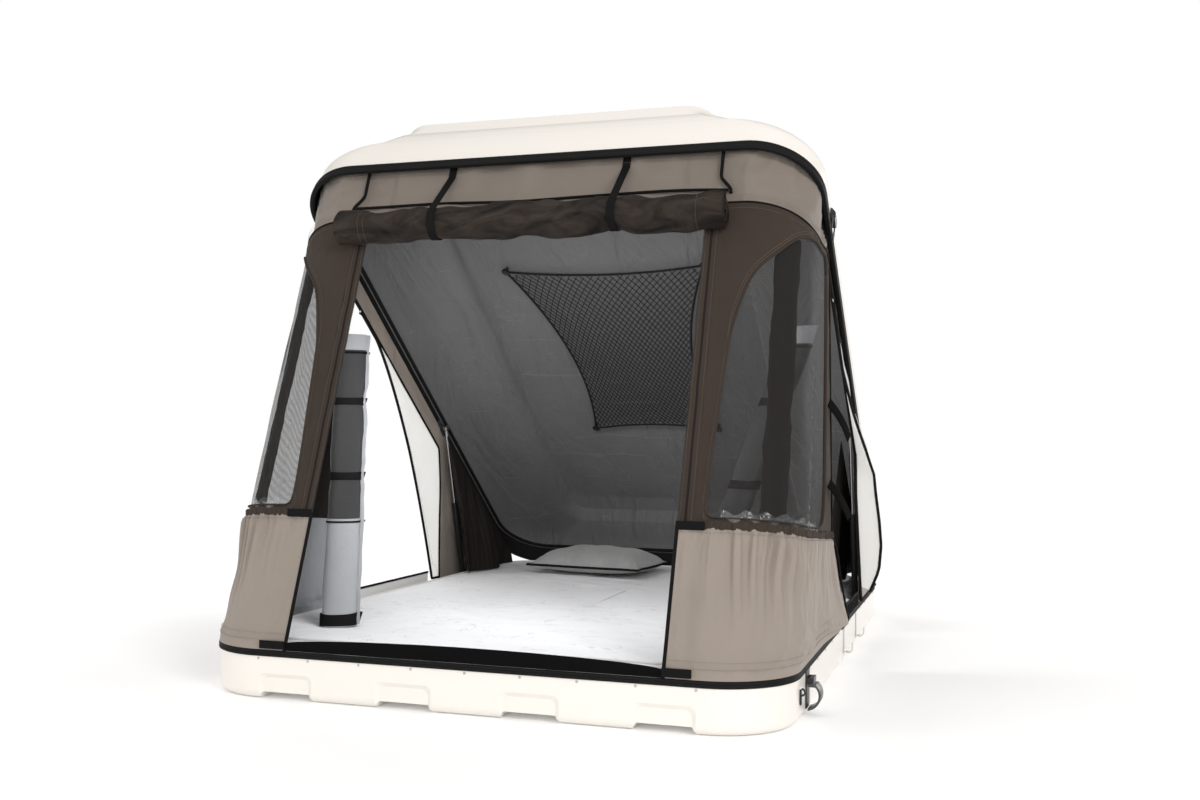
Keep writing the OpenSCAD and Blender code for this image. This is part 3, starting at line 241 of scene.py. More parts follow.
def quilted(name):
    """White knit cover: broken, slanting print strokes in pale grey and soft quilting."""
    f = Finish(name, Sheen_Weight=0.15, Specular_IOR_Level=0.25)
    at = f.place()
    strokes = f.noise(f.place(scale=(6.5, 24, 1), turn=(0, 0, 0.5)), 1.0, 2, 0.5, 0.6)
    thin = 1 - f.span((strokes - 0.5).abs(), 0.004, 0.018)
    twigs = f.noise(f.place(scale=(22, 8, 1), turn=(0, 0, -0.35)), 1.0, 2, 0.5, 0.9)
    side = 1 - f.span((twigs - 0.5).abs(), 0.003, 0.014)
    where = f.span(f.noise(at, 9, 2), 0.50, 0.60)
    there = f.span(f.noise(at, 13, 2), 0.53, 0.62)
    ink = (thin * where).high(side * there)
    soft = f.noise(at, 5.5, 4, 0.55, 0.5)
    knit = f.noise(at, 520, 2)
    f.set(Base_Color=f.mix(ink * 0.55 + soft * 0.12, (0.84, 0.845, 0.86), (0.52, 0.53, 0.57)),
          Roughness=0.86 + knit * 0.06)
    return f.bump(soft + knit * 0.06 - ink * 0.10, 0.006, 0.6).mat


def lining(name, tint):
    """Headliner cloth with long soft creases along the lid."""
    f = Finish(name, Sheen_Weight=0.3, Sheen_Roughness=0.4, Specular_IOR_Level=0.3)
    at = f.place()
    cloud = f.noise(at, 1.7, 5, 0.6)
    long_fold = f.noise(f.place(scale=(7.0, 2.0, 2.0), turn=(0.65, 0, 0.12)), 1.0, 5, 0.55, 0.7)
    ridge = (1 - (long_fold - 0.5).abs() * 9).high(0.0)
    # Long slanted streaks lighten the cloth's colour and raise its bump a little
    pale_streak = f.span(f.noise(f.place(scale=(3, 22, 22), turn=(0.2, 0.3, 0.8)), 1.0, 4, 0.6, 1.5), 0.60, 0.74)
    weave = f.noise(at, 700, 2)
    tone = cloud * 0.8 + weave * 0.2 + pale_streak * 0.30
    f.set(Base_Color=f.mix(tone, shade(tint, 0.66), shade(tint, 1.30)), Roughness=0.62 + cloud * 0.2)
    return f.bump(ridge * 0.55 + long_fold * 0.9 + pale_streak * 0.12 + weave * 0.015, 0.013, 0.75).mat


def fuzzy(name, tint):
    """Touch tape pile: short fibres that catch the light unevenly."""
    f = Finish(name, Specular_IOR_Level=0.03)
    at = f.place()
    pile = f.noise(at, 620, 4, 0.8)
    clump = f.noise(at, 70, 5, 0.7)
    f.set(Base_Color=f.mix(pile * 0.7 + clump * 0.4, shade(tint, 0.35), shade(tint, 2.1)), Roughness=0.95)
    return f.bump(pile + clump, 0.0022, 0.9).mat


def film(name):
    f = Finish(name, Roughness=0.08, Specular_IOR_Level=0.7)
    at = f.place()
    wave = f.noise(at, 16, 4, 0.6, 1.2)
    glint = f.span(f.noise(at, 60, 4, 0.7, 2.0), 0.50, 0.62) * f.span(f.noise(at, 11, 2), 0.47, 0.57)
    f.set(Base_Color=f.mix(wave, (0.45, 0.46, 0.47), (0.85, 0.86, 0.87)),
          Alpha=f.span(wave, 0.35, 0.75, 0.04, 0.16) + glint * 0.5)
    return f.bump(wave + glint * 0.3, 0.008, 0.9).mat


SHELL = gel_coat("warm_white_gel_coat", (0.80, 0.758, 0.703))
RUBBER = moulded("black_rubber", (0.010, 0.010, 0.010), 0.6, 500, 0.0004, 0.06)
PLASTIC = moulded("black_moulded_plastic", (0.015, 0.015, 0.016), 0.36, gloss=0.3)
LEVER = moulded("lever_plastic", (0.045, 0.042, 0.040), 0.34)
STEEL = metal("bright_steel", (0.62, 0.61, 0.60), 0.22)
RAIL = metal("anodised_rail", (0.66, 0.66, 0.67), 0.34, (300, 3, 300))
COATED = moulded("black_coated_steel", (0.03, 0.03, 0.032), 0.4, 1200)
ROD = metal("polished_rod", (0.75, 0.75, 0.76), 0.08)
TAUPE = woven("taupe_canvas", (0.305, 0.258, 0.218), (0.235, 0.198, 0.167), sheen=0.10, rough=0.70, gloss=0.40)
# The header band is the same taupe cloth as the skirts, painted darker as the shade under the lid's overhang
SHADED_TAUPE = woven("taupe_header_canvas", (0.232, 0.195, 0.165), (0.176, 0.148, 0.125), sheen=0.08, rough=0.66,
               gloss=0.35, wrinkle=0.5, folds=5, deep_by=0.004)
BROWN = woven("brown_canvas", (0.060, 0.045, 0.036), (0.034, 0.025, 0.020), sheen=0.03, gloss=0.12, wrinkle=0.5,
               folds=6, deep_by=0.006)
# The rolled door's creases carry strong painted shade and painted light
ROLLED = woven("rolled_door_canvas", (0.046, 0.034, 0.027), (0.004, 0.003, 0.002), wrinkle=1.3, sheen=0.0, rough=0.55,
               gloss=0.14, folds=15, deep_by=0.009, run=(0.4, 1, 1), crease_shading=3.0)
GLOSS = woven("coated_door_cloth", (0.060, 0.060, 0.062), (0.022, 0.022, 0.023), wrinkle=1.0, sheen=0.0, rough=0.42,
               folds=9, deep_by=0.006)
MESH = tent_mesh("insect_mesh", (0.016, 0.014, 0.013), 0.98, 0.0015)
SILVER = woven("silver_lining", (0.44, 0.45, 0.47), (0.27, 0.28, 0.30), rough=0.5, wrinkle=0.7, folds=8,
               deep_by=0.005)
DARK = woven("dark_cover_cloth", (0.026, 0.022, 0.020), (0.010, 0.008, 0.008), sheen=0.0, gloss=0.08)
WHITE = woven("white_lining", (0.80, 0.79, 0.77), (0.70, 0.69, 0.67), wrinkle=0.25)
FLAP = woven("thin_white_lining", (0.92, 0.915, 0.90), (0.86, 0.855, 0.84), wrinkle=0.25, sheen=0.0, through=0.75)
WEBBING = woven("black_webbing", (0.012, 0.011, 0.011), (0.005, 0.005, 0.005), thread=0.0018, rough=0.7, sheen=0.0,
               gloss=0.05)
PILE = fuzzy("black_touch_tape", (0.0045, 0.0042, 0.0042))
LINER = lining("grey_headliner", (0.128, 0.127, 0.128))
QUILT = quilted("white_quilted_cover")
GREY = woven("grey_pillow_cloth", (0.32, 0.317, 0.313), (0.24, 0.237, 0.234), wrinkle=0.5)
STUD = moulded("pale_rivet", (0.42, 0.40, 0.37), 0.35)
NET = moulded("black_net_cord", (0.010, 0.010, 0.011), 0.7, 2000, gloss=0.15)
THREAD = moulded("tan_thread", (0.15, 0.125, 0.10), 0.8, 3000, gloss=0.2)
FILM = film("clear_film")


# Placing of pieces
def plane_fold(obj, lean=0):
    """Gives the piece its own copy of its mesh; the tilt and anchor for a piece's lean are worked out but not used.
    """
    tilt = math.radians(11) * lean
    anchor = (0.645 * np.sign(lean), 0, CLOTH_Z + (0.022 if abs(lean) >= 1 else 0.005))
    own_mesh(obj)


def dress(obj, mat, body="base", stands_for=(), fold=None):
    if mat is not None:
        obj.data.materials.clear()
        obj.data.materials.append(mat)
    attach(obj, body)
    if fold is not None:
        plane_fold(obj, fold)
    if stands_for:
        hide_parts(stands_for)
    return obj


def coat(obj, mats, index=None):
    """Give a piece its finishes, and each face its own where an index is given."""
    for m in mats:
        obj.data.materials.append(m)
    if index is not None:
        obj.data.polygons.foreach_set("material_index", np.asarray(index).astype(np.int32).ravel())


def put(name, data):
    obj = bpy.data.objects.new(name, data)
    scene.collection.objects.link(obj)
    return obj


def solid_object(name, points, faces, uv=None, smooth=40):
    me = bpy.data.meshes.new(name)
    me.from_pydata(np.asarray(points, float).reshape(-1, 3).tolist(), [], [tuple(int(i) for i in f) for f in faces])
    if uv is not None:
        layer = me.uv_layers.new(name="cloth")
        uv = np.asarray(uv, float).reshape(-1, 2)
        loops = np.zeros(len(me.loops), np.int32)
        me.loops.foreach_get("vertex_index", loops)
        layer.data.foreach_set("uv", uv[loops].astype(np.float32).ravel())
    me.validate()
    return soften(put(name, me), smooth)


def soften(obj, angle=40):
    me = obj.data
    me.shade_smooth()
    me.set_sharp_from_angle(angle=math.radians(angle))
    return obj


def outward(obj, angle=40):
    """Turn all faces of a closed piece outward."""
    bm = bmesh.new()
    bm.from_mesh(obj.data)
    bmesh.ops.recalc_face_normals(bm, faces=bm.faces)
    if bm.calc_volume(signed=True) < 0:
        bmesh.ops.reverse_faces(bm, faces=bm.faces)
    bm.to_mesh(obj.data)
    bm.free()
    return soften(obj, angle)


def apply_modifiers(obj):
    dg = bpy.context.evaluated_depsgraph_get()
    dg.update()
    me = bpy.data.meshes.new_from_object(obj.evaluated_get(dg))
    obj.modifiers.clear()
    old, obj.data = obj.data, me
    bpy.data.meshes.remove(old)
    return obj


def thicken(obj, depth, inner=None):
    m = obj.modifiers.new("wall", "SOLIDIFY")
    m.thickness, m.offset, m.use_even_offset = depth, 0.0, True
    if inner is not None:
        m.material_offset = inner
    return apply_modifiers(obj)


def grid_faces(rows, cols, loop_rows=False, loop_cols=False):
    return [
        (i * cols + j, i * cols + (j + 1) % cols, (i + 1) % rows * cols + (j + 1) % cols, (i + 1) % rows * cols + j)
        for i in range(rows if loop_rows else rows - 1) for j in range(cols if loop_cols else cols - 1)]


def run_length(points, axis):
    """Distance along a grid of points from its first row or column, for the cloth's own map."""
    d = np.linalg.norm(np.diff(points, axis=axis), axis=2)
    pad = [(0, 0), (0, 0)]
    pad[axis] = (1, 0)
    return np.cumsum(np.pad(d, pad), axis=axis)


def grid_object(name, P):
    """Open sheet on a grid of points, rows upwards and columns to the right, mapped in metres."""
    P = np.asarray(P, float)
    rows, cols = P.shape[:2]
    uv = np.dstack([run_length(P, 1), run_length(P, 0)])
    return solid_object(name, P, grid_faces(rows, cols), uv, 60)


def loft(name, rings, smooth=32):
    rings = np.asarray(rings, float)
    m, n = rings.shape[:2]
    faces = grid_faces(m, n, loop_cols=True) + [tuple(range(n - 1, -1, -1)), tuple(range((m - 1) * n, m * n))]
    uv = np.dstack([run_length(rings, 1), run_length(rings, 0)])
    return solid_object(name, rings, faces, uv, smooth)


def tangents(path):
    tan = np.gradient(path, axis=0)
    return tan / np.maximum(np.linalg.norm(tan, axis=1, keepdims=True), 1e-12)


def tube(name, path, radius, sides=8, up=(0, 0, 1), flat=1.0):
    """Round or flat cord along a path; flat is the share of the radius across the path's up."""
    path, ref = np.asarray(path, float), np.array(up, float)
    tan = tangents(path)
    u = ref - (tan @ ref)[:, None] * tan
    bad = np.linalg.norm(u, axis=1) < 1e-3
    u[bad] = np.cross(tan[bad], (1, 0, 0))
    u /= np.linalg.norm(u, axis=1, keepdims=True)
    w = np.cross(u, tan)
    a = np.linspace(0, 2 * math.pi, sides, endpoint=False)[None, :, None]
    return loft(name, path[:, None] + radius * (np.cos(a) * w[:, None] + flat * np.sin(a) * u[:, None]), smooth=60)


def measure(path):
    """Distance along a path at each of its points."""
    return np.concatenate([[0], np.cumsum(np.linalg.norm(np.diff(np.asarray(path, float), axis=0), axis=1))])


def resample(path, step):
    path, s = np.asarray(path, float), measure(path)
    t = np.linspace(0, s[-1], max(2, int(round(s[-1] / step)) + 1))
    return np.stack([np.interp(t, s, path[:, k]) for k in range(3)], 1)


def joined(bm, name):
    """The mesh of a bmesh as a new piece."""
    me = bpy.data.meshes.new(name)
    bm.to_mesh(me)
    bm.free()
    return put(name, me)


def refined(node, bevel):
    """A CAD node's copy with its doubles merged, flat areas joined and edges eased."""
    bm = bmesh.new()
    bm.from_mesh(nodes[node].data)
    bmesh.ops.remove_doubles(bm, verts=bm.verts, dist=1e-5)
    bmesh.ops.dissolve_limit(bm, angle_limit=math.radians(1.0), verts=bm.verts, edges=bm.edges)
    sharp = [e for e in bm.edges if len(e.link_faces) == 2 and e.calc_face_angle(0) > math.radians(30)]
    if bevel and sharp:
        bmesh.ops.bevel(bm, geom=sharp, offset=bevel, segments=2, profile=0.6, affect="EDGES", clamp_overlap=True)
    return soften(joined(bm, node + "_piece"), 35)


# Repeats made by Geometry Nodes
def bead_tree():
    """A tree that sets one small bead at even spacing along a line of edges."""
    tree = bpy.data.node_groups.new("bead_row", "GeometryNodeTree")
    kinds = {"Line": "Geometry", "Spacing": "Float", "Length": "Float", "Width": "Float", "Height": "Float",
             "Finish": "Material"}
    ids = {label: tree.interface.new_socket(label, in_out="INPUT", socket_type="NodeSocket" + kind).identifier
           for label, kind in kinds.items()}
    tree.interface.new_socket("Row", in_out="OUTPUT", socket_type="NodeSocketGeometry")
    gin, gout, curve, even, bead, size, tangent, turn, spread, real, finish = (tree.nodes.new(kind) for kind in (
        "NodeGroupInput", "NodeGroupOutput", "GeometryNodeMeshToCurve", "GeometryNodeResampleCurve",
        "GeometryNodeMeshIcoSphere", "ShaderNodeCombineXYZ", "GeometryNodeInputTangent",
        "FunctionNodeAlignRotationToVector", "GeometryNodeInstanceOnPoints", "GeometryNodeRealizeInstances",
        "GeometryNodeSetMaterial"))
    even.mode, turn.axis = "LENGTH", "X"
    bead.inputs["Subdivisions"].default_value, bead.inputs["Radius"].default_value = 1, 0.5
    for source, out, goal, into in (
            (gin, "Line", curve, 0), (curve, 0, even, "Curve"), (gin, "Spacing", even, "Length"),
            (gin, "Length", size, 0), (gin, "Width", size, 1), (gin, "Height", size, 2),
            (tangent, 0, turn, "Vector"), (even, 0, spread, "Points"), (bead, "Mesh", spread, "Instance"),
            (turn, 0, spread, "Rotation"), (size, 0, spread, "Scale"), (spread, 0, real, 0),
            (real, 0, finish, "Geometry"), (gin, "Finish", finish, "Material"), (finish, 0, gout, 0)):
        tree.links.new(source.outputs[out], goal.inputs[into])
    return tree, ids


BEADS = bead_tree()


def row(name, lines, spacing, length, width, height, mat):
    """Small beads along one or more lines, as one plain mesh."""
    me = bpy.data.meshes.new(name + "_line")
    points, edges = [], []
    for line in lines:
        edges += [(len(points) + i, len(points) + i + 1) for i in range(len(line) - 1)]
        points += [tuple(p) for p in line]
    me.from_pydata(points, edges, [])
    obj = put(name, me)
    mod = obj.modifiers.new("row", "NODES")
    mod.node_group, ids = BEADS
    sizes = {"Spacing": spacing, "Length": length, "Width": width, "Height": height, "Finish": mat}
    for label, value in sizes.items():
        mod[ids[label]] = value
    apply_modifiers(obj)
    obj.data.shade_smooth()
    return obj


# Cloth that settles
def settle(obj, pin, frames=18, grow=0.02, cap=0.008, gravity=0.15, pressure=0.0, stiff=12.0, bend=0.4):
    """Short cloth run: pinned points stay, the rest wrinkles or swells, and no point moves further than cap."""
    start = np.array([v.co for v in obj.data.vertices], float)
    work = obj.copy()
    work.data = obj.data.copy()
    scene.collection.objects.link(work)
    group = work.vertex_groups.new(name="pin")
    for i, w in enumerate(np.broadcast_to(np.asarray(pin, float), (len(start),))):
        if w > 0:
            group.add([i], float(w), "REPLACE")
    cloth = work.modifiers.new("cloth", "CLOTH")
    s = cloth.settings
    s.vertex_group_mass = "pin"
    s.quality, s.mass = 6, 0.25
    s.tension_stiffness = s.compression_stiffness = stiff
    s.shear_stiffness, s.bending_stiffness = stiff * 0.5, bend
    s.shrink_min = s.shrink_max = -grow
    s.air_damping = 2.0
    s.effector_weights.gravity = gravity
    if pressure:
        s.use_pressure, s.uniform_pressure_force = True, pressure
    cloth.collision_settings.use_collision = False
    cloth.point_cache.frame_start, cloth.point_cache.frame_end = 1, frames
    for f in range(1, frames + 1):
        scene.frame_set(f)
    dg = bpy.context.evaluated_depsgraph_get()
    done = work.evaluated_get(dg).to_mesh()
    end = np.array([v.co for v in done.vertices], float)
    scene.frame_set(1)
    bpy.data.objects.remove(work)
    move = end - start
    far = np.linalg.norm(move, axis=1, keepdims=True)
    move *= np.minimum(1.0, cap * np.tanh(far / cap) / np.maximum(far, 1e-9))
    obj.data.vertices.foreach_set("co", (start + move).astype(np.float32).ravel())
    obj.data.update()
    return obj


# Outlines shared by the shells and the cloth
def arch(t):
    """From 0 up to 1 and back, as t goes from 0 to 1."""
    return np.sin(np.pi * t)


def quarter(count):
    return np.linspace(0, math.pi / 2, count)


def ease(t):
    t = np.clip(t, 0, 1)
    return t * t * (3 - 2 * t)


def lid_point(x, r, h):
    c, s = math.cos(OPEN), math.sin(OPEN)
    x, r, h = np.broadcast_arrays(np.asarray(x, float), np.asarray(r, float), np.asarray(h, float))
    return np.stack([x, HINGE_Y - r * c + h * s, HINGE_Z + r * s + h * c], -1)


def lid_reach(y, h):
    return (HINGE_Y + h * math.sin(OPEN) - y) / math.cos(OPEN)


def plan_ring(x, y0, y1, r, steps=20):
    out = []
    for q in range(4):
        cx, cy = (x - r) * (1 if q in (0, 3) else -1), (y1 - r) if q < 2 else (y0 + r)
        a = math.radians(90 * q) + np.linspace(0, math.pi / 2, steps + 1)
        out.append(np.stack([cx + r * np.cos(a), cy + r * np.sin(a)], 1))
    return np.concatenate(out)


def at_height(ring, z):
    return np.column_stack([ring, np.full(len(ring), z)])


def to_lid(points):
    """Points in the lid's own frame, with y as minus the distance from the hinge line, in the open lid's place."""
    p = np.asarray(points, float)
    return lid_point(p[..., 0], -p[..., 1], p[..., 2])


def stations(t):
    """Angle round the corner and shares along the door end and the side, at places from 0 to 1 along a wall."""
    t = np.asarray(t, float)
    turn = np.radians(90) * np.clip((t - BEND) / (UNBEND - BEND), 0, 1)
    return turn, np.clip(t / BEND, 0, 1), np.clip((t - UNBEND) / (1 - UNBEND), 0, 1)


def rim_line(t, x0, y1):
    t, y1 = np.broadcast_arrays(np.asarray(t, float), np.asarray(y1, float))
    a, k, q = stations(t)
    x = np.where(t < BEND, x0 + (RIM_X - RIM_R - x0) * k, RIM_X - RIM_R + RIM_R * np.sin(a))
    y = np.where(t < UNBEND, -RIM_Y + RIM_R - RIM_R * np.cos(a), -RIM_Y + RIM_R + (y1 + RIM_Y - RIM_R) * q)
    return np.stack([x, y, np.full_like(x, CLOTH_Z)], -1)


def lid_line(t, x0, y1):
    t, y1 = np.broadcast_arrays(np.asarray(t, float), np.asarray(y1, float))
    a, k, q = stations(t)
    x = np.where(t < BEND, x0 + (TOP_X - TOP_R - x0) * k, TOP_X - TOP_R + TOP_R * np.sin(a))
    run = lid_reach(y1, STRIP_H) - TOP_REACH + TOP_R
    r = np.where(t < UNBEND, TOP_REACH - TOP_R + TOP_R * np.cos(a), TOP_REACH - TOP_R + run * q)
    return lid_point(x, r, TOP_H + (STRIP_H - TOP_H) * q)


def wall_at(t, v, x0=PANEL_X, y1=SIDE_Y):
    v = np.asarray(v, float)[..., None]
    return rim_line(t, x0, y1) * (1 - v) + lid_line(t, x0, y1) * v


def wall_out(t):
    a = stations(t)[0]
    return np.stack([np.sin(a), -np.cos(a), np.zeros_like(a)], -1)


SLOPE = float(np.linalg.norm(lid_line(0, 0, 0) - rim_line(0, 0, 0)))
SKIRT_V = SKIRT / SLOPE


def header_v(t):
    return 1 - (0.175 - 0.119 * ease(2 * np.abs(t) - 1)) / SLOPE


def mirrored(points, side):
    return np.asarray(points, float) * np.array([side, 1, 1])


SIDES = (("left", -1), ("right", 1))


# Small helpers for cloth
def wrinkle(u, v, wave, seed, count=8, lean=None, spread=3.2):
    """Sum of slanting waves of about the given length, roughly from -1 to 1."""
    g = np.random.default_rng(seed)
    total = 0
    for _ in range(count):
        a = g.uniform(0, 2 * math.pi) if lean is None else lean + g.uniform(-spread, spread) * 0.1
        k = 2 * math.pi / (wave * g.uniform(0.65, 1.6))
        total = total + np.sin(k * (u * math.cos(a) + v * math.sin(a)) + g.uniform(0, 2 * math.pi))
    return total / math.sqrt(count)


def turned(P, side):
    """A grid made for the right side, or its mirror image with its columns turned round."""
    return P if side > 0 else mirrored(P, -1)[:, ::-1]


def declare(obj, P, loop=False):
    """Measure the flat cut of a grid of cloth on its middle surface; the measures are not kept."""
    P = np.asarray(P, float)
    if loop:
        P = np.concatenate([P, P[:, :1]], 1)
    width, length = run_length(P, 1)[:, -1].max(), run_length(P, 0)[-1].max()
    a, b = P[1:, 1:] - P[:-1, :-1], P[1:, :-1] - P[:-1, 1:]
    area = float(np.linalg.norm(np.cross(a, b), axis=2).sum() / 2)
    # A crescent's cut is measured across its long edge
    length = min(length, area / (0.6 * width))
    return obj


def cloth_piece(name, P, mats, node, fold=0, rests_on=("rim_hem",), thick=0.0016, sim=None, paint=None):
    """A grid of cloth: settled if asked, given its thickness, coloured, set on the base and measured."""
    obj = grid_object(name, P)
    coat(obj, mats, None if paint is None else 2 * paint)
    if sim:
        settle(obj, **sim)
    if thick:
        thicken(obj, thick, inner=1 if len(mats) > 1 else None)
        soften(obj, 70)
    dress(obj, None, "base", node, fold=fold)
    return declare(obj, P)


def tape(name, path, across, width, thick, smooth=50):
    """Flat band along a path with rounded edges; across is the direction of its width at each point."""
    path = np.asarray(path, float)
    tan = tangents(path)
    a = np.broadcast_to(np.asarray(across, float), path.shape)
    a = a - (a * tan).sum(1, keepdims=True) * tan
    a /= np.linalg.norm(a, axis=1, keepdims=True)
    n = np.cross(tan, a)
    r = min(thick, width) * 0.42
    b = np.radians(90 * (np.arange(4)[:, None] + np.linspace(0, 1, 4))).ravel()
    corners = np.repeat([(1, 1), (-1, 1), (-1, -1), (1, -1)], 4, axis=0)
    section = corners * (width / 2 - r, thick / 2 - r) + r * np.stack([np.cos(b), np.sin(b)], 1)
    rings = path[:, None] + section[None, :, :1] * a[:, None] + section[None, :, 1:] * n[:, None]
    return loft(name, rings, smooth=smooth)


def band_of(name, path, up, thick, height):
    """Band that stands on a path, of its own height at each point, with a rounded top edge."""
    path, up, height = np.asarray(path, float), np.asarray(up, float), np.asarray(height, float)[:, None, None]
    n = np.cross(up, tangents(path))
    r = thick * 0.45
    top = [(math.cos(b) * r, -r + math.sin(b) * r) for b in np.linspace(0, math.pi, 9)]
    section = np.array([(thick / 2, 0, 0)] + [(thick / 2 * x / r, 1, z) for x, z in top] + [(-thick / 2, 0, 0)])
    rise = section[None, :, 1:2] * height + section[None, :, 2:]
    return outward(loft(name, path[:, None] - section[None, :, :1] * n[:, None] + rise * up), 60)


def webbing(name, path, across, width, thick, fold, stands_for=()):
    """Black strap along a path."""
    path = resample(path, 0.006)
    return dress(tape(name, path, across, width, thick), WEBBING, "base", stands_for, fold)


def piping(name, path, radius, fold=0):
    """Corded edge along a seam."""
    return dress(tube(name, resample(path, 0.008), radius), WEBBING, fold=fold)


def stitches(name, lines, fold=0):
    """Rows of thread, each stitch a small bead along its line."""
    lines = [resample(line, 0.01) for line in lines]
    obj = row(name, lines, spacing=0.0062, length=0.0042, width=0.0013, height=0.0011, mat=THREAD)
    return dress(obj, None, fold=fold)


# Base tub: fine rings, then the flutes and channels cut out of it
def tub_ring(inset, z):
    return at_height(plan_ring(TUB_X - inset, inset - TUB_Y, TUB_Y - inset, TUB_R - inset, 16), z)


def tub():
    foot = [(TUB_EDGE * (1 - math.sin(a)), TUB_EDGE * (1 - math.cos(a))) for a in quarter(13)]
    lip_r, cove_r = 0.0012, 0.008
    lip = [(lip_r * (1 - math.cos(a)), TUB_H - lip_r + lip_r * math.sin(a)) for a in quarter(4)]
    cove = [(WALL + cove_r * (1 - math.cos(a)), FLOOR + cove_r * (1 - math.sin(a))) for a in quarter(6)]
    rings = [tub_ring(i, z) for i, z in foot + lip + [(WALL - 0.001, TUB_H), (WALL, TUB_H - 0.001)] + cove]
    obj = loft("base_tub", rings, smooth=32)
    obj.data.materials.append(SHELL)
    cutters = []
    for x in (-0.45, -0.15, 0.15, 0.45):
        for s in (-1, 1):
            sections = []
            for k in np.linspace(-0.15, 1, 8):
                # Set-in of the pocket's edges at this depth
                set_in, depth = 0.010 * k, 0.007 * k
                half, top, r = 0.070 - set_in, 0.060 - set_in, 0.016
                a = quarter(8)
                right = np.stack([half - r + r * np.cos(a), top - r + r * np.sin(a)], 1)
                left = np.stack([-half + r - r * np.sin(a), top - r + r * np.cos(a)], 1)
                outline = np.concatenate([[[half, -0.02]], right, left, [[-half, -0.02]]])
                face = np.full(len(outline), s * (TUB_Y - depth))
                sections.append(np.stack([x + outline[:, 0], face, outline[:, 1]], 1))
            cutters.append(loft("pocket", sections if s < 0 else sections[::-1]))
        side = np.array([(0.070, -0.02), (0.070, -0.0005), (0.062, 0.014), (0.058, 0.016), (-0.058, 0.016),
                         (-0.062, 0.014), (-0.070, -0.0005), (-0.070, -0.02)])
        ends = [np.stack([x + side[:, 0], np.full(8, y), side[:, 1]], 1) for y in (-TUB_Y - 0.01, TUB_Y + 0.01)]
        cutters.append(loft("channel", ends))
    for c in cutters:
        outward(c)
        m = obj.modifiers.new("cut", "BOOLEAN")
        m.operation, m.solver, m.object = "DIFFERENCE", "EXACT", c
    apply_modifiers(obj)
    for c in cutters:
        bpy.data.objects.remove(c)
    b = obj.modifiers.new("ease", "BEVEL")
    b.width, b.segments, b.limit_method, b.angle_limit = 0.0022, 3, "ANGLE", math.radians(24)
    apply_modifiers(obj)
    soften(obj, 34)
    w = obj.modifiers.new("even", "WEIGHTED_NORMAL")
    w.keep_sharp = True
    apply_modifiers(obj)
    return dress(obj, SHELL, "base", "base_shell")


def band(name, x, y0, y1, r, profile, place=None):
    """Closed profile of offsets and heights swept round a rounded rectangle."""
    rings = np.array([at_height(plan_ring(x + o, y0 - o, y1 + o, r + o, 20), z) for o, z in profile])
    if place is not None:
        rings = place(rings)
    m, n = rings.shape[:2]
    return solid_object(name, rings, grid_faces(m, n, True, True), smooth=40)


def beads(low, high, count, depth):
    """Outer side of a rubber band as a row of round beads."""
    z = np.linspace(low, high, count * 9 + 1)
    k = np.abs(np.sin(np.pi * count * (z - low) / (high - low)))
    return list(zip(-depth * (1 - np.sqrt(np.maximum(k, 0))), z))


tub()
hem = band("rim_hem_band", HX, -HY, HY, CORNER, beads(HEM_Z, RIM, 2, 0.0016) + [(-HEM, RIM), (-HEM, HEM_Z)])
dress(hem, RUBBER, "base", "rim_hem")


# Lid: fine rings of the same profile
FLANK, DECK_EDGE = LID_RISE - 0.022, 0.036


def lid_profile():
    """Insets and heights from the lid's foot over its shoulder and the deck's flank to the deck."""
    shoulder, foot, deck = TUB_X - 0.580, TUB_X - 0.500, TUB_X - 0.440
    p = [(0.0, 0.0)]
    p += [(shoulder * (1 - math.cos(a)), LID_WALL + (SHOULDER - LID_WALL) * math.sin(a)) for a in quarter(25)]
    p += [(foot + (deck - foot) * math.sin(a), LEDGE + (FLANK - LEDGE) * (1 - math.cos(a))) for a in quarter(17)]
    p += [(deck + DECK_EDGE * (1 - math.cos(a)), FLANK + (LID_RISE - FLANK) * math.sin(a)) for a in quarter(12)[1:]]
    return p


def lid_rings(inset, foot):
    out = []
    for i, (px, h) in enumerate(lid_profile()):
        h = foot + inset if i == 0 and foot else h
        end = 0.010 * (h / LID_RISE) ** 2 + (DECK_EDGE * (h - FLANK) / (LID_RISE - FLANK) if h > FLANK else 0)
        slope_in = 0.5 * h * ease((h - LID_WALL) / 0.080) if h > LID_WALL else 0
        near, far = LID_NEAR - end - inset, LID_FAR + end + slope_in + inset
        r = max(0.060, TUB_R - 0.35 * px) - inset
        z = foot if i == 0 else h - inset
        out.append(at_height(plan_ring(TUB_X - px - inset, -near, -float(far), r), z))
    return out


def lid_form(name, outer, inner, foot):
    return loft(name, to_lid(np.array(lid_rings(inner, foot)[::-1] + lid_rings(outer, foot))), smooth=34)


cover = lid_form("lid_cover", 0, WALL, 0)
ring_points, levels = 4 * 21, len(lid_profile())
inside = np.arange(len(cover.data.polygons)) // ring_points
coat(cover, (SHELL, RUBBER), (inside >= levels - 2) & (inside < levels))
dress(cover, None, "lid", "lid_shell")
dress(lid_form("lid_lining", LINER_GAP, LINER_GAP + LINER_T, LINER_FOOT), LINER, "lid", "lid_liner")
trim = np.array(lid_rings(LINER_GAP + LINER_T + 0.0058, LINER_FOOT + 0.004)[0])
trim = tube("liner_trim", to_lid(resample(np.concatenate([trim, trim[:2]]), 0.010)), 0.0056, 8)
dress(trim, RUBBER, "lid")
seal_mid = -(LID_NEAR + LID_FAR) / 2
seal = band(
    "lid_seal_band", HX, seal_mid - HY, seal_mid + HY, CORNER,
    beads(-0.004, 0.022, 2, 0.0018) + [(-HEM, 0.022), (-HEM, -0.0003), (-0.0103, -0.0003), (-0.0103, -0.0036),
                                       (-0.004, -0.0040)],
    to_lid)
dress(seal, RUBBER, "lid", "lid_seal")

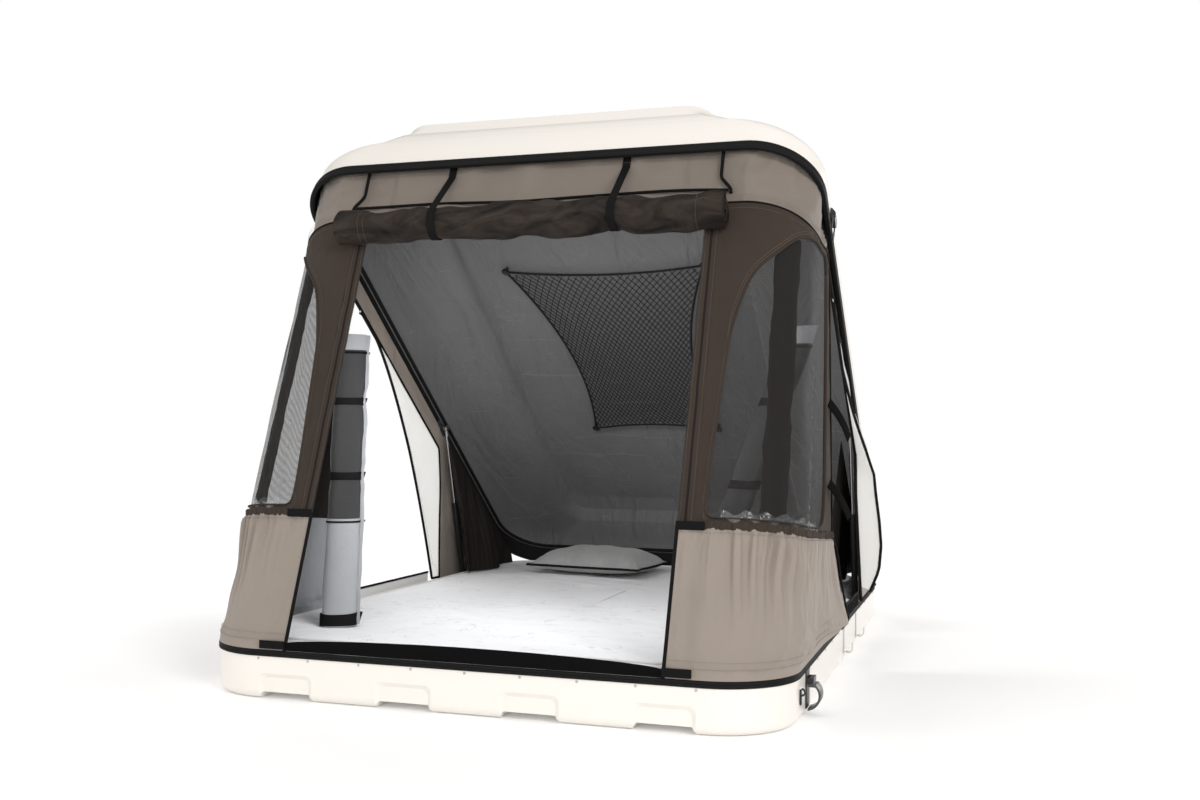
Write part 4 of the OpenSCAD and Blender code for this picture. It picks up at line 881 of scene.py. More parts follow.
# Hard pieces: the solids' own shapes with eased edges
HARD = {
    "rim_rivets": ("base", STUD, 0.0005), "mounting_rails": ("base", RAIL, 0.0006),
    "hinge_base_leaves": ("base", COATED, 0.0006), "hinge_pins": ("base", STEEL, 0.0004),
    "hinge_lid_leaves": ("lid", COATED, 0.0006), "latch_plates": ("base", PLASTIC, 0.0006),
    "latch_catches": ("lid", PLASTIC, 0.0010), "lock_eye": ("base", PLASTIC, 0.0007),
    "ladder_hooks": ("base", STEEL, 0.0006), "strut_base_brackets": ("base", COATED, 0.0008),
    "strut_lid_brackets": ("lid", COATED, 0.0008), "net_hooks": ("lid", PLASTIC, 0.0006),
}
for k, _ in SIDES:
    HARD["latch_lever_" + k] = ("lever_" + k, LEVER, 0.0012)
    HARD["bail_ring_" + k] = ("bail_" + k, COATED, 0)
    HARD["strut_cylinder_" + k] = ("cylinder_" + k, PLASTIC, 0.0006)
    HARD["strut_rod_" + k] = ("rod_" + k, ROD, 0.0005)
for node, (body, mat, ease_r) in HARD.items():
    dress(refined(node, ease_r), mat, body, node)


# Header band under the lid's edge, with its seams and piping
def header():
    t = np.linspace(-1, 1, 181)
    rows = np.concatenate([np.linspace(0, 0.72, 12), np.linspace(0.72, 1, 11)[1:]])[:, None]
    v = header_v(np.abs(t))[None] * (1 - rows) + rows
    P = wall_at(np.broadcast_to(np.abs(t), v.shape), v, 0, SIDE_Y - SEAM)
    out = wall_out(np.abs(t))
    P[..., 0] *= np.sign(t)[None]
    out[:, 0] *= np.sign(t)
    s = run_length(P, 1)
    drop = run_length(P, 0)
    soft = arch(rows) ** 0.7
    swell = 0.0035 * wrinkle(s, drop, 0.20, 3) + 0.0015 * wrinkle(s, drop, 0.06, 4)
    P = P + (soft * swell)[..., None] * out[None]
    lines = [P[0] + out * 0.0016 + [0, 0, d] for d in (0.010, 0.017)] + [P[11] + out * 0.0016]

    def on_header(x, v):
        p = wall_at(np.zeros_like(v), v, 0, SIDE_Y)
        p[:, 0] = x
        return p - [0, 0.0045, 0]

    for k, sx in SIDES:
        v = np.linspace(0.985, 1 - 0.150 / SLOPE, 30)
        bend = 0.478 + 0.027 * ease((1 - 0.100 / SLOPE - v) * SLOPE / 0.045)
        piping(f"header_seam_{k}", on_header(sx * bend, v), 0.0042)
        lines += [on_header(sx * (np.full(30, d)), v) + [0, 0.002, 0] for d in (0.392, 0.399, 0.466)]
    x = np.linspace(-0.498, 0.498, 160)
    low = np.full(160, 1 - 0.140 / SLOPE) + 0.0025 * wrinkle(x, 0 * x, 0.35, 6)
    piping("header_door_piping", on_header(x, low) - [0, 0.001, 0], 0.0036)
    stitches("header_stitches", lines)
    piping("header_piping", P[0] + out * 0.001, 0.0026)
    pin = np.zeros(P.shape[:2])
    pin[-4:], pin[0], pin[:, 0], pin[:, -1] = 1, 0.6, 1, 1
    depth = drop[-1:] - (drop[1:] + drop[:-1]) / 2
    facing = depth < 0.012 + 0.040 * ease((np.abs(t) - 0.34) / 0.24)
    facing &= np.abs(t) > 0.34
    cloth_piece("header_cloth", P, [SHADED_TAUPE, DARK, WEBBING, WEBBING], "header_band", rests_on=["lid_shell"],
                sim=dict(pin=pin.ravel(), grow=0.012, cap=0.006, frames=14), paint=facing[:, 1:])


# Corner panels with their windows, covers and skirts
def arc_length(t):
    ts = np.linspace(0, 1, 400)
    line = wall_at(ts, np.full(400, 0.5))
    return np.interp(t, ts, measure(line))


WINF, WIN0, WIN1, WIN_FOOT = 0.08, 0.25, 0.86, SKIRT_V + 0.018 / SLOPE


def window_v(t):
    return header_v(t) - (0.026 + 0.150 * (1 - ease((t - WIN0) / 0.34)) ** 2) / SLOPE


def outline(foot_t, foot_v, top_t, top_v):
    """Outline in the wall's own measures: along the foot, up the far edge, back along the top and down."""
    up = np.linspace(0, 1, 30)[1:-1, None]
    foot, top = np.stack([foot_t, np.full(len(foot_t), foot_v)], 1), np.stack([top_t, top_v(top_t)], 1)
    return np.concatenate([foot, foot[-1] + (top[-1] - foot[-1]) * up, top[::-1], top[0] + (foot[0] - top[0]) * up])


def window_loop():
    """Rounded outline of the window."""
    loop = outline(np.linspace(WINF, WIN1, 70), WIN_FOOT, np.linspace(WIN0, WIN1, 70), window_v)
    for _ in range(36):
        loop = 0.5 * loop + 0.25 * (np.roll(loop, 1, 0) + np.roll(loop, -1, 0))
    return loop


def corner(side_name, side):
    lean = CORNER_LEAN * side
    loop = window_loop()
    n = len(loop)
    t = np.linspace(0, 1, 70)
    edge = outline(t, SKIRT_V, t, header_v)
    k = np.linspace(0, 1, 9)[:, None, None]
    tv = edge[None] * (1 - k) + loop[None] * k
    P = wall_at(tv[..., 0], tv[..., 1])
    out = wall_out(tv[..., 0])
    s, h = arc_length(tv[..., 0]), tv[..., 1] * SLOPE
    fade = np.sin(np.pi * k[..., 0])
    P = P + ((0.0022 * wrinkle(s, h, 0.11, 21 + side) + 0.001 * wrinkle(s, h, 0.04, 22)) * fade)[..., None] * out
    Q = mirrored(P, side)
    uv = np.stack([s * side, h], -1)
    faces = grid_faces(9, n, loop_cols=True)
    if side < 0:
        faces = [f[::-1] for f in faces]
    obj = solid_object(f"corner_panel_{side_name}_cloth", Q, faces, uv, 60)
    coat(obj, (BROWN, DARK))
    thicken(obj, 0.0016, inner=1)
    soften(obj, 70)
    dress(obj, None, "base", f"corner_panel_{side_name}", fold=lean)
    declare(obj, Q, loop=True)

    # Insect mesh, with a bound edge and two rows of thread round it
    k = np.linspace(0, 1, 90)[None]
    rows = np.linspace(0, 1, 60)[:, None]
    vv = WIN_FOOT * (1 - rows) + window_v(WIN0 + (WIN1 - WIN0) * k) * rows
    tt = (WINF + (WIN0 - WINF) * rows) * (1 - k) + WIN1 * k
    M = wall_at(tt, vv) - 0.0014 * wall_out(tt)
    ripple = 0.0025 * wrinkle(arc_length(tt), vv * SLOPE, 0.09, 25 + side, 8, 0.0)
    M = M + (ripple * arch(k) * arch(rows))[..., None] * wall_out(tt)
    cloth_piece(f"window_mesh_{side_name}_cloth", turned(M, side), [MESH], f"window_mesh_{side_name}", lean,
                ["corner_panel_" + side_name], thick=0)
    closed = np.concatenate([loop, loop[:1]])
    ring = wall_at(closed[:, 0], closed[:, 1]) + wall_out(closed[:, 0]) * 0.0016
    bound = tube(f"window_binding_{side_name}", mirrored(resample(ring, 0.010), side), 0.0042, 8, flat=0.5)
    dress(bound, BROWN, fold=lean)
    lines = []
    for grow in (0.010, 0.018):
        c = loop.mean(0)
        wide = (loop - c) * (1 + np.array([grow / 0.31, grow / 0.42])) + c
        wide = np.concatenate([wide, wide[:1]])
        lines.append(mirrored(wall_at(wide[:, 0], wide[:, 1]) + wall_out(wide[:, 0]) * 0.0019, side))
    # Edges of the clear film behind the mesh: a crumpled strip at its foot and a narrow one up its side
    strips = ((0.22, 0.74, WIN_FOOT - 0.004, WIN_FOOT + 0.009), (0.645, 0.668, WIN_FOOT, 0.66))
    for i, (t0, t1, v0, v1) in enumerate(strips):
        ft, fv = np.meshgrid(np.linspace(t0, t1, (120, 9)[i]), np.linspace(v0, v1, (9, 120)[i]))
        s, h = arc_length(ft), fv * SLOPE
        if i == 0:
            lift = 0.0030 + 0.0016 * np.tanh(wrinkle(s, h, 0.016, 27))
            film_at = wall_at(ft, fv + 0.006 * wrinkle(s, 0 * h, 0.045, 30))
        else:
            lift = -0.006 + 0.0022 * np.tanh(wrinkle(s, h, 0.028, 28))
            film_at = wall_at(ft + 0.010 * wrinkle(s, h, 0.05, 30), fv)
        film_at = film_at + lift[..., None] * wall_out(ft)
        cloth_piece(f"window_film_{side_name}_{i}", turned(film_at, side), [FILM], (), lean,
                    ["corner_panel_" + side_name], thick=0)
    lines.append(mirrored(wall_at(t, header_v(t) - 0.012) + wall_out(t) * 0.0019, side))
    stitches(f"panel_stitches_{side_name}", lines, fold=lean)
    far_edge = wall_at(np.ones(40), np.linspace(SKIRT_V, header_v(1.0), 40)) + wall_out(np.ones(40)) * 0.001
    piping(f"panel_piping_{side_name}", mirrored(far_edge, side), 0.0034, lean)


def skirt(side_name, side):
    lean = CORNER_LEAN * side
    t = np.linspace(0, 1, 240)[None]
    v = np.linspace(0, 1, 44)[:, None]
    T, V = np.broadcast_arrays(t, v)
    P = wall_at(T, V * SKIRT_V, DOOR + 0.002, SIDE_Y + 0.09 * (1 - V))
    out = wall_out(T)
    s, h = run_length(P, 1), V * SKIRT
    main = 0.005 * np.sin(np.radians(2600 * T)) * (0.25 + 0.75 * V) * ease(8 * V) * ease(12 * (1 - V))
    pleat = wrinkle(s + 0.02 * V, h * 0.12, 0.034, 31 + side, 7, 0.0)
    here = np.exp(-((T - 0.42) / 0.26) ** 2)
    fine = (0.0092 * np.tanh(1.3 * pleat) * here * ease(18 * (1 - V)) * ease((V - 0.12) / 0.8) ** 1.2
            + 0.0018 * wrinkle(s, h * 0.2, 0.016, 33 + side, 9, 0.0) * ease(14 * (1 - V)) * V ** 6
            + 0.0034 * wrinkle(s + 0.5 * h, h, 0.17, 35 + side) * arch(V))
    flare = 0.034 * ease((T - 0.82) / 0.18) * (1 - V) * ease(4 * V + 0.4)
    P = P + ((main + fine) * ease(16 * T) + flare)[..., None] * out
    pin = np.zeros(P.shape[:2])
    pin[-2:], pin[:3], pin[:, :2] = 1, 1, 1
    name = f"corner_skirt_{side_name}"
    Q = turned(P, side)
    if side < 0:
        pin = pin[:, ::-1]
    lines = [mirrored(P[i] + out[i] * 0.0022, side) for i in (3, 5, -3)]
    stitches(f"skirt_stitches_{side_name}", lines, fold=lean)
    piping(f"skirt_door_piping_{side_name}", mirrored(P[:, 0] - [0.002, 0.001, 0], side), 0.0042, lean)
    piping(f"skirt_far_piping_{side_name}", mirrored(P[:, -1] + out[:, -1] * 0.001, side), 0.0030, lean)
    top = resample(P[-1] + out[-1] * 0.0022, 0.0022)
    along = np.arange(len(top)) * 0.0022
    ruche = wrinkle(along, 0 * along, 0.011, 37 + side, 6, 0.0)
    way = np.gradient(top, axis=0)
    way = np.stack([way[:, 1], -way[:, 0], 0 * along], 1)
    way /= np.linalg.norm(way, axis=1, keepdims=True)
    lift = wrinkle(along, 0 * along, 0.014, 39, 6, 0.0)[:, None]
    top = top + way * (0.0012 + 0.0012 * ruche)[:, None] + np.array([0, 0, 0.002]) * lift
    ruff = tape(f"skirt_elastic_{side_name}", mirrored(top, side), (0, 0, 1), 0.015, 0.0024, 80)
    dress(ruff, BROWN, fold=lean)
    for i, (p, d) in enumerate(((P[0, 0], 0.013), (P[-1, 0], -0.001))):
        line = [p + [-0.004, -0.0062, d], p + [0.028, -0.0066, d], p + [0.060, -0.0066, d]]
        webbing(f"skirt_tab_{side_name}_{i}", mirrored(line, side), (0, 0, 1), 0.019, 0.0026, lean)
    cloth_piece(name + "_cloth", Q, [TAUPE, SILVER], name, lean, ["rim_hem"],
                sim=dict(pin=pin.ravel(), grow=0.018, cap=0.007, frames=16))


def zips(side_name, side):
    lean = CORNER_LEAN * side
    top = 1 - 0.225 / SLOPE
    v = np.linspace(SKIRT_V, top, 90)[:, None]
    x = np.linspace(DOOR, DOOR + ZIP, 9)[None]
    P = wall_at(np.zeros_like(v + x), v, 0, 0)
    P[..., 0] = x
    s = v * SLOPE
    bow = np.sin(np.pi * (v - SKIRT_V) / (top - SKIRT_V)) ** 0.5
    P[..., 1] -= 0.0012 * wrinkle(x + 0 * s, s, 0.12, 41 + side) * bow
    mid = P[:, 4] - [0, 0.0016, 0]
    lines = [mirrored(P[:, i] - [0, 0.0016, 0], side) for i in (1, 7)]
    stitches(f"zip_stitches_{side_name}", lines, fold=lean)
    edge = mirrored(resample(P[:, 0] - [0.0015, 0.001, 0], 0.01), side)
    teeth = row(f"zip_teeth_{side_name}", [edge], spacing=0.0036, length=0.0022, width=0.0052, height=0.0030,
                mat=PLASTIC)
    dress(teeth, None, fold=lean)
    cord = tube(f"zip_coil_{side_name}", mirrored(resample(mid, 0.01), side), 0.0024, 8, flat=0.6)
    dress(cord, DARK, fold=lean)
    cloth_piece(f"door_zip_{side_name}_tape", turned(P, side), [BROWN, DARK], f"door_zip_{side_name}", lean,
                ["corner_panel_" + side_name])


# Rolled cloth: a spiral section drawn along a line, gripped where it is tied
def rolled(name, path, u, w, ru, rw, thick, pitch, turns, start, mats, node, fold, ties=(), grip=0.1, seed=1,
           crush=0.0, steps=44, way=1, wave=0.055, lean=0.35, band=None):
    """A rolled sheet: rows of points along the roll, columns round its outer face and back along the inner one."""
    s = measure(path)
    a = np.radians(start + 360 * np.linspace(0, turns, int(turns * steps) + 1))
    r = 1 - pitch * np.linspace(0, turns, len(a))
    squeeze = 1 - grip * sum(np.exp(-((s - t) / 0.030) ** 2) for t in ties)
    S, A = np.meshgrid(s, a, indexing="ij")
    ridge = 1 - np.abs(wrinkle(S, A * ru * 0.8, 1.7 * wave, seed + 2, 7, lean, 8))
    folds = 1 + crush * (0.7 * ridge + 0.6 * wrinkle(S, A * ru * 0.8, wave, seed, 9, lean, 6)
                         + 0.6 * wrinkle(S, A * ru, 0.16, seed + 1))
    front = r[None] * folds * squeeze[:, None]
    turn = (np.concatenate([A, A[:, ::-1]], 1) * way)[..., None]
    R = np.concatenate([front, (front - thick)[:, ::-1]], 1)[..., None]
    P = (np.asarray(path, float)[:, None] + ru * R * np.cos(turn) * np.asarray(u, float)
         + rw * R * np.sin(turn) * np.asarray(w, float))
    n, cols = P.shape[:2]
    m = len(a)
    faces = grid_faces(n, cols, loop_cols=True)
    for base, order in ((0, 1), ((n - 1) * cols, -1)):
        faces += [(base + i, base + i + 1, base + cols - 2 - i, base + cols - 1 - i)[::order] for i in range(m - 1)]
    obj = solid_object(name, P, faces, np.dstack([run_length(P, 0), run_length(P, 1)]), 55)
    cell = np.arange((n - 1) * cols)
    inner = cell % cols >= m
    if band:
        share = cell // cols / (n - 1)
        inner |= (share < band[0]) | (share > band[1])
    index = np.zeros(len(obj.data.polygons), np.int32)
    index[: len(cell)] = inner
    coat(obj, mats, index)
    outward(obj, 55)
    dress(obj, None, "base", node, fold=fold)
    return P


def door_roll():
    v = 1 - 0.221 / SLOPE
    lean = math.atan(0.36)
    out = ROLL_R - 0.72 * 0.0145 + 0.004
    axis = wall_at(0, v, 0, SIDE_Y) + np.array([0, -out * math.cos(lean), out * math.sin(lean)])
    x = np.linspace(-ROLL_HALF, ROLL_HALF, 260)
    sag = -0.0035 * np.sin(np.pi * np.minimum(1, np.abs(np.abs(x) - STRAP_X) / 0.270)) ** 2
    path = np.stack([x, np.full(260, axis[1]), axis[2] + sag], 1)
    P = rolled(
        "door_roll_cloth", path, (0, 1, 0), (0, 0, 1), ROLL_R, ROLL_R, thick=0.2826, pitch=0.3152, turns=2, start=80,
        mats=[ROLLED, DARK], node="door_roll", fold=0, ties=(ROLL_HALF - STRAP_X, ROLL_HALF + STRAP_X), grip=0.14,
        seed=51, crush=0.095, wave=0.060, lean=0.95, steps=60)
    seams = [P[i, :36] + (P[i, :36] - path[i]) * 0.025 for i in (18, 22, 243)]
    stitches("door_roll_stitches", seams)
    # Straps from under the lid, over the front of the roll and round below it
    lead, top = (wall_at(0, v, 0, SIDE_Y) - np.array([0, 0.0029, 0]) for v in (0.99, 0.952))
    c = axis[1:]
    d = top[1:] - c

    def reach(a):
        return np.interp(np.degrees(a), 80 + 6 * np.arange(55), height) + 0.0016

    for k, sx in SIDES:
        near = np.abs(x - sx * STRAP_X) < 0.012
        height = np.linalg.norm((P[near, :55] - path[near][:, None])[..., 1:], axis=2).max(0)
        height = np.max([np.roll(height, i) for i in (-1, 0, 1)], axis=0)
        first = math.atan2(d[1], d[0]) + math.acos(float(reach(math.radians(110))) / np.linalg.norm(d))
        a = np.linspace(first, math.radians(300), 40)
        arc = np.stack([np.full(40, sx * STRAP_X), c[0] + reach(a) * np.cos(a), c[1] + reach(a) * np.sin(a)], 1)
        fall = np.linspace([sx * STRAP_X, *top[1:]], arc[0], 14)[:-1]
        line = np.concatenate([[[sx * STRAP_X, *lead[1:]]], fall, arc])
        webbing(f"roll_strap_{k}", line, (1, 0, 0), 0.020, 0.0022, 0, "roll_straps" if sx > 0 else ())


def window_cover(side_name, side):
    back = wall_out(COVER_T)
    along = np.array([-back[1], back[0], 0])
    inset = (CLOTH + SEAM + 0.0187) * back
    ends = [wall_at(COVER_T, v) - inset for v in (SKIRT_V + 0.02, header_v(COVER_T) - 0.05)]
    rolled(
        f"window_cover_{side_name}_cloth", mirrored(resample(ends, 0.008), side), mirrored(along, side),
        mirrored(-back, side), ru=0.042, rw=0.017, thick=0.30, pitch=0.36, turns=1.6, start=120, mats=[DARK, SILVER],
        node=f"window_cover_{side_name}", fold=CORNER_LEAN * side, ties=(0.25, 0.52), grip=0.14, seed=61 + side,
        crush=0.05, way=side)


header()
for side_name, side in SIDES:
    for make in (corner, skirt, zips, window_cover):
        make(side_name, side)
door_roll()


# Side doorways: strip and panel behind them, rolled doors, flaps, ties and sills
PANEL_END = HY - CORNER + 0.030


def strip_top(y):
    return lid_point(0, lid_reach(y, STRIP_H), STRIP_H)[..., 2]


def strip_low(y):
    k = ease((y - SIDE_FAR + 0.050) / 0.050)
    return (strip_top(y) - 0.056) * (1 - k) + CLOTH_Z * k


def side_x(y, z):
    k = np.minimum(1, 1.5 * (z - CLOTH_Z) / (strip_top(y) - CLOTH_Z))
    return RIM_X * (1 - k) + TOP_X * k


def side_panel(side_name, side):
    y = np.concatenate([np.linspace(SIDE_Y, SIDE_FAR - 0.05, 60), SIDE_FAR - 0.05 + np.linspace(0, 0.05, 26)[1:],
                        np.linspace(SIDE_FAR, PANEL_END, 30)[1:]])[None]
    rows = np.linspace(0, 1, 26)[:, None]
    z = strip_low(y) * (1 - rows) + (strip_top(y) + 0.020) * rows
    Y = np.broadcast_to(y, z.shape)
    fade = arch(rows)
    slack = fade * (0.004 * wrinkle(Y, z, 0.22, 71 + side) + 0.0015 * wrinkle(Y, z, 0.07, 73))
    x = side_x(Y, z) + slack * ease((z - CLOTH_Z) / 0.1) - 0.002 * fade
    P = np.stack([np.minimum(x, side_x(Y, z) + 0.003), Y, z], -1)
    piping(f"side_panel_piping_{side_name}", mirrored(P[0], side), 0.0052, side)
    seam = mirrored(P[4, :84] + [0.0018, 0, 0], side)
    stitches(f"side_panel_stitches_{side_name}", [seam], fold=side)
    facing = (strip_top(Y) - z)[1:, 1:] < 0.042
    cloth_piece(f"side_panel_{side_name}_cloth", turned(P, side), [TAUPE, TAUPE, WEBBING, TAUPE],
                f"side_panel_{side_name}", side, ["lid_shell", "rim_hem"], paint=facing[:, ::side])


def side_flap(side_name, side):
    """White lined flap in the upper corner, with a corded free edge."""
    y0, y1 = SIDE_Y + 0.080, SIDE_FAR - 0.052
    y = np.concatenate([np.linspace(y0, y1, 70), np.linspace(y1, SIDE_FAR - 0.010, 24)[1:]])[None]
    s = np.linspace(1, 0, 30)[:, None]
    top = strip_low(y) - 0.0004
    fall = np.clip((y - y0) / (0.90 * (SIDE_FAR - y0)), 0, 1) ** 1.5
    low = (strip_low(np.array(y0)) - 0.014) * (1 - fall) + (CLOTH_Z + 0.010) * fall
    if side > 0:
        q = measure(np.stack([0 * y[0], y[0], top[0]], 1))[None]
        q = q / q[0, -1]
        out = np.interp(q, (0, 0.19, 0.35, 0.51, 0.63, 0.78, 0.87, 0.94, 1),
                        (0.004, 0.008, 0.024, 0.045, 0.057, 0.068, 0.070, 0.060, 0.030))
        swell = out * np.sin(np.pi / 2 * s) ** 0.9
        z = np.maximum(CLOTH_Z + 0.006, top - s * (0.014 + 0.060 * np.sin(np.pi * np.minimum(1, q * 1.15)) ** 0.8))
    else:
        z = np.minimum(np.maximum(CLOTH_Z + 0.006, top - s * np.maximum(0.006, top - low)), top)
        swell = 0
    Y = np.broadcast_to(y, z.shape)
    slack = 0.004 * wrinkle(Y, z, 0.20, 81 + side) * np.sin(np.pi * np.clip(s, 0, 1))
    slack = slack * np.sin(np.pi * (Y - y0) / (SIDE_FAR - y0))
    F = np.stack([side_x(Y, z) + swell + slack - 0.001, Y, z], -1)
    lean = 2.4 if side > 0 else -1
    piping(f"flap_piping_{side_name}", mirrored(F[0], side), 0.0044, lean)
    stitches(f"flap_stitches_{side_name}", [mirrored(F[3] - [0.0012, 0, 0], side)], fold=lean)
    cloth_piece(f"side_flap_{side_name}_cloth", turned(F, side), [FLAP, FLAP], f"side_flap_{side_name}", lean,
                ["side_panel_" + side_name])


def side_roll(side_name, side):
    """Door rolled up and tied beside the near edge of the doorway."""
    foot = np.array([BED_X - 0.220, SIDE_Y - 0.460, BED_TOP + FIT])
    head = np.array([TUB_X - 0.016 - 0.92 * 0.052, SIDE_Y - 0.050, BED_TOP + 0.756])
    line = resample([foot, head], 0.009)
    s = measure(line)
    ties = [k * s[-1] for k in (0.48, 0.745)]
    P = rolled(
        f"side_roll_{side_name}_cloth", mirrored(line, side), mirrored((0.8, -0.6, 0), side),
        mirrored((0.6, 0.8, 0), side), ru=0.052, rw=0.032, thick=0.20, pitch=0.30, turns=1.9, start=200,
        mats=[GLOSS, SILVER], node=f"side_roll_{side_name}", fold=side, ties=ties, grip=0.08, seed=91 + side,
        crush=0.032, way=side, band=(0.33, 0.93), wave=0.10)
    marks = ties + [k * s[-1] for k in (0.025, 0.33, 0.93)]
    for i, (k, width) in enumerate(zip(marks, (0.022, 0.022, 0.030, 0.005, 0.007))):
        j = np.argmin(np.abs(s - k))
        hoop = P[j, :44] + (P[j, :44] - P[j].mean(0)) * 0.045
        across = mirrored(line[-1] - line[0], side)
        webbing(f"side_roll_tie_{side_name}_{i}", hoop, across, width, 0.0024, side)


def side_ties(side_name, side):
    """Loose touch tape ties on the corner panel."""
    for i, v in enumerate((0.38, 0.58)):
        turn, droop = math.radians(68), math.radians(38)
        stand = SEAM + CLOTH * (1 + math.sin(turn)) + 0.0125 * math.sin(droop) * math.cos(turn)
        base = wall_at(0.92, v) + stand * wall_out(0.92)
        d = np.array([math.cos(turn) * math.cos(droop), math.sin(turn) * math.cos(droop), -math.sin(droop)])
        upward = np.array([math.cos(turn) * math.sin(droop), math.sin(turn) * math.sin(droop), math.cos(droop)])
        k = np.linspace(0, 1, 24)[:, None]
        path = base + k * 0.130 * d + arch(k) * 0.005 * np.cross(d, upward) - [0, 0, 0.010] * k * k
        tie = tape(f"side_tie_{side_name}_{i}", mirrored(path, side), mirrored(upward, side), 0.025, 0.0030)
        dress(tie, PILE, "base", "side_ties" if side > 0 and i == 0 else (), fold=side)


def side_sill(side_name, side):
    """Touch tape on the rim below the doorway."""
    near, far = SIDE_Y + 0.098, SIDE_FAR - 0.090
    y = np.linspace(near, far, 120)
    path = np.stack([RIM_X + 0.0006 * wrinkle(y, 0 * y, 0.09, 95), y, np.full(120, CLOTH_Z + 0.0175)], 1)
    sill = tape(f"side_sill_{side_name}", mirrored(path, side), (0, 0, 1), 0.0350, 0.0030)
    inside = np.array([p.normal.x * side < -0.8 for p in sill.data.polygons])
    coat(sill, (PILE, WHITE), inside)
    dress(sill, None, "base", "side_sills" if side > 0 else (), fold=0)
    piping(f"sill_piping_{side_name}", mirrored(path + [-0.001, 0, 0.0175], side), 0.0036, 0)


def inner_skirt(side_name, side):
    """White lining between the rim and the mattress, corded on its upper edge."""
    y = np.linspace(-TUB_Y + TUB_R + 0.060, STRUT_Y - 0.190, 150)[None]
    q = np.linspace(0, 1, 10)[:, None]
    slant = math.radians(32)
    x0, z0 = TUB_X - WALL - SEAM, TUB_H - 0.002
    run = 0.030 * (1 - q)
    swell = 0.004 * arch(q) * (1 + 0.5 * wrinkle(y, 0 * q, 0.06, 97 + side))
    S = np.stack([x0 - 0.0012 - run * math.cos(slant) - swell * math.sin(slant) + 0 * y, y + 0 * q,
                  z0 + run * math.sin(slant) + swell * math.cos(slant) - 0.0015], -1)
    piping(f"lining_piping_{side_name}", mirrored(S[-1] + [-0.003, 0, 0.004], side), 0.0040, None)
    cloth_piece(f"inner_skirt_{side_name}_cloth", turned(S, -side), [WHITE], "inner_skirts" if side > 0 else (), None,
                ["mattress", "base_shell"])


def strut_sleeve(side_name, side):
    """Black sleeve round the strut."""
    a = np.linspace(0, 1, 90)[None]
    b = np.linspace(0, 1, 50)[:, None]
    A, B = np.broadcast_arrays(a, b)
    low = np.stack([0.600 + 0.022 * np.sin(3 * np.pi * A), STRUT_Y - 0.130 + 0.390 * A,
                    np.full_like(A, BED_TOP + FIT)], -1)
    high = lid_point(np.full_like(A, 0.676 - 0.010 - 0.012), 0.810 * (1 - A) + 0.170 * A, -0.012)
    ruck = 0.010 * wrinkle(A * 0.5, B * 0.1, 0.055, 99 + side, 8, 0.0) * arch(B) ** 0.6
    Z = low * (1 - B[..., None]) + high * B[..., None]
    Z[..., 0] -= np.abs(ruck)
    cloth_piece(f"strut_sleeve_{side_name}_cloth", turned(Z, side), [DARK], f"strut_sleeve_{side_name}", 0,
                ["mattress"])


for side_name, side in SIDES:
    for make in (side_panel, side_flap, side_roll, side_ties, side_sill, inner_skirt, strut_sleeve):
        make(side_name, side)

# Touch tape sill in the doorway
x = np.linspace(-DOOR + 0.001, DOOR - 0.001, 260)
lean = math.radians(8)
path = np.stack([x, np.full(260, -RIM_Y - 0.0030) + 0.003 * math.cos(lean) + 0.0006 * wrinkle(x, 0 * x, 0.11, 5),
                 np.full(260, CLOTH_Z + 0.003 * math.sin(lean))], 1)
sill = band_of("door_sill_tape", path, (0, math.sin(lean), math.cos(lean)), 0.0060,
               0.016 + 0.018 * np.sqrt(np.sin(np.pi * np.linspace(0, 1, 260)).clip(0)))
dress(sill, PILE, "base", "door_sill", fold=0)

# Gusset along the hinge
half = TUB_X - TUB_R
x = np.linspace(-half, half, 160)
z = TUB_H + 0.0068 + 0.0008 * wrinkle(x, 0 * x, 0.1, 8)
path = np.stack([x, np.full(160, TUB_Y - WALL + 0.00175), z], 1)
gusset = tape("hinge_gusset_cloth", path, (0, 0, 1), 0.013, 0.0025)
dress(gusset, TAUPE, "base", "hinge_gusset", fold=0)


# Mattress: crowned foam in a quilted cover, with a corded edge
def mattress():
    n = 480
    a = np.linspace(0, 2 * math.pi, n, endpoint=False)
    cx, sy = np.sign(np.cos(a)) * np.abs(np.cos(a)) ** 0.16, np.sign(np.sin(a)) * np.abs(np.sin(a)) ** 0.16
    sets = [(0.030, 0.000), (0.014, 0.002), (0.005, 0.012), (0.001, 0.028), (0.000, 0.050), (0.003, 0.072),
            (0.007, 0.088), (0.011, 0.097), (0.016, 0.1025)]
    sets += [(0.016 + k, 0.1025 + 0.0055 * math.sin(min(1, k / 0.06) * math.pi / 2))
             for k in (0.008, 0.020, 0.036, 0.060)]
    sets += [(k, 0.108) for k in np.linspace(0.080, 0.640, 40)]
    rings = []
    for inset, z in sets:
        X, Y = np.maximum(BED_X - inset, 0.004) * cx, (BED_Y - inset) * sy
        lump = 0.0022 * wrinkle(X, Y, 0.34, 11) + 0.0012 * wrinkle(X, Y, 0.10, 12)
        dip = np.minimum(0, lump - 0.0028) * (1 if inset > 0.03 else 0)
        rings.append(np.stack([X, Y, BED_Z + z + dip], 1))
    obj = loft("mattress_cover", rings, smooth=60)
    dress(obj, QUILT, "base", "mattress")
    welt = rings[8] + [0, 0, 0.001]
    cord = tube("mattress_welt", np.concatenate([welt, welt[:2]]), 0.0032, 6)
    dress(cord, WHITE)


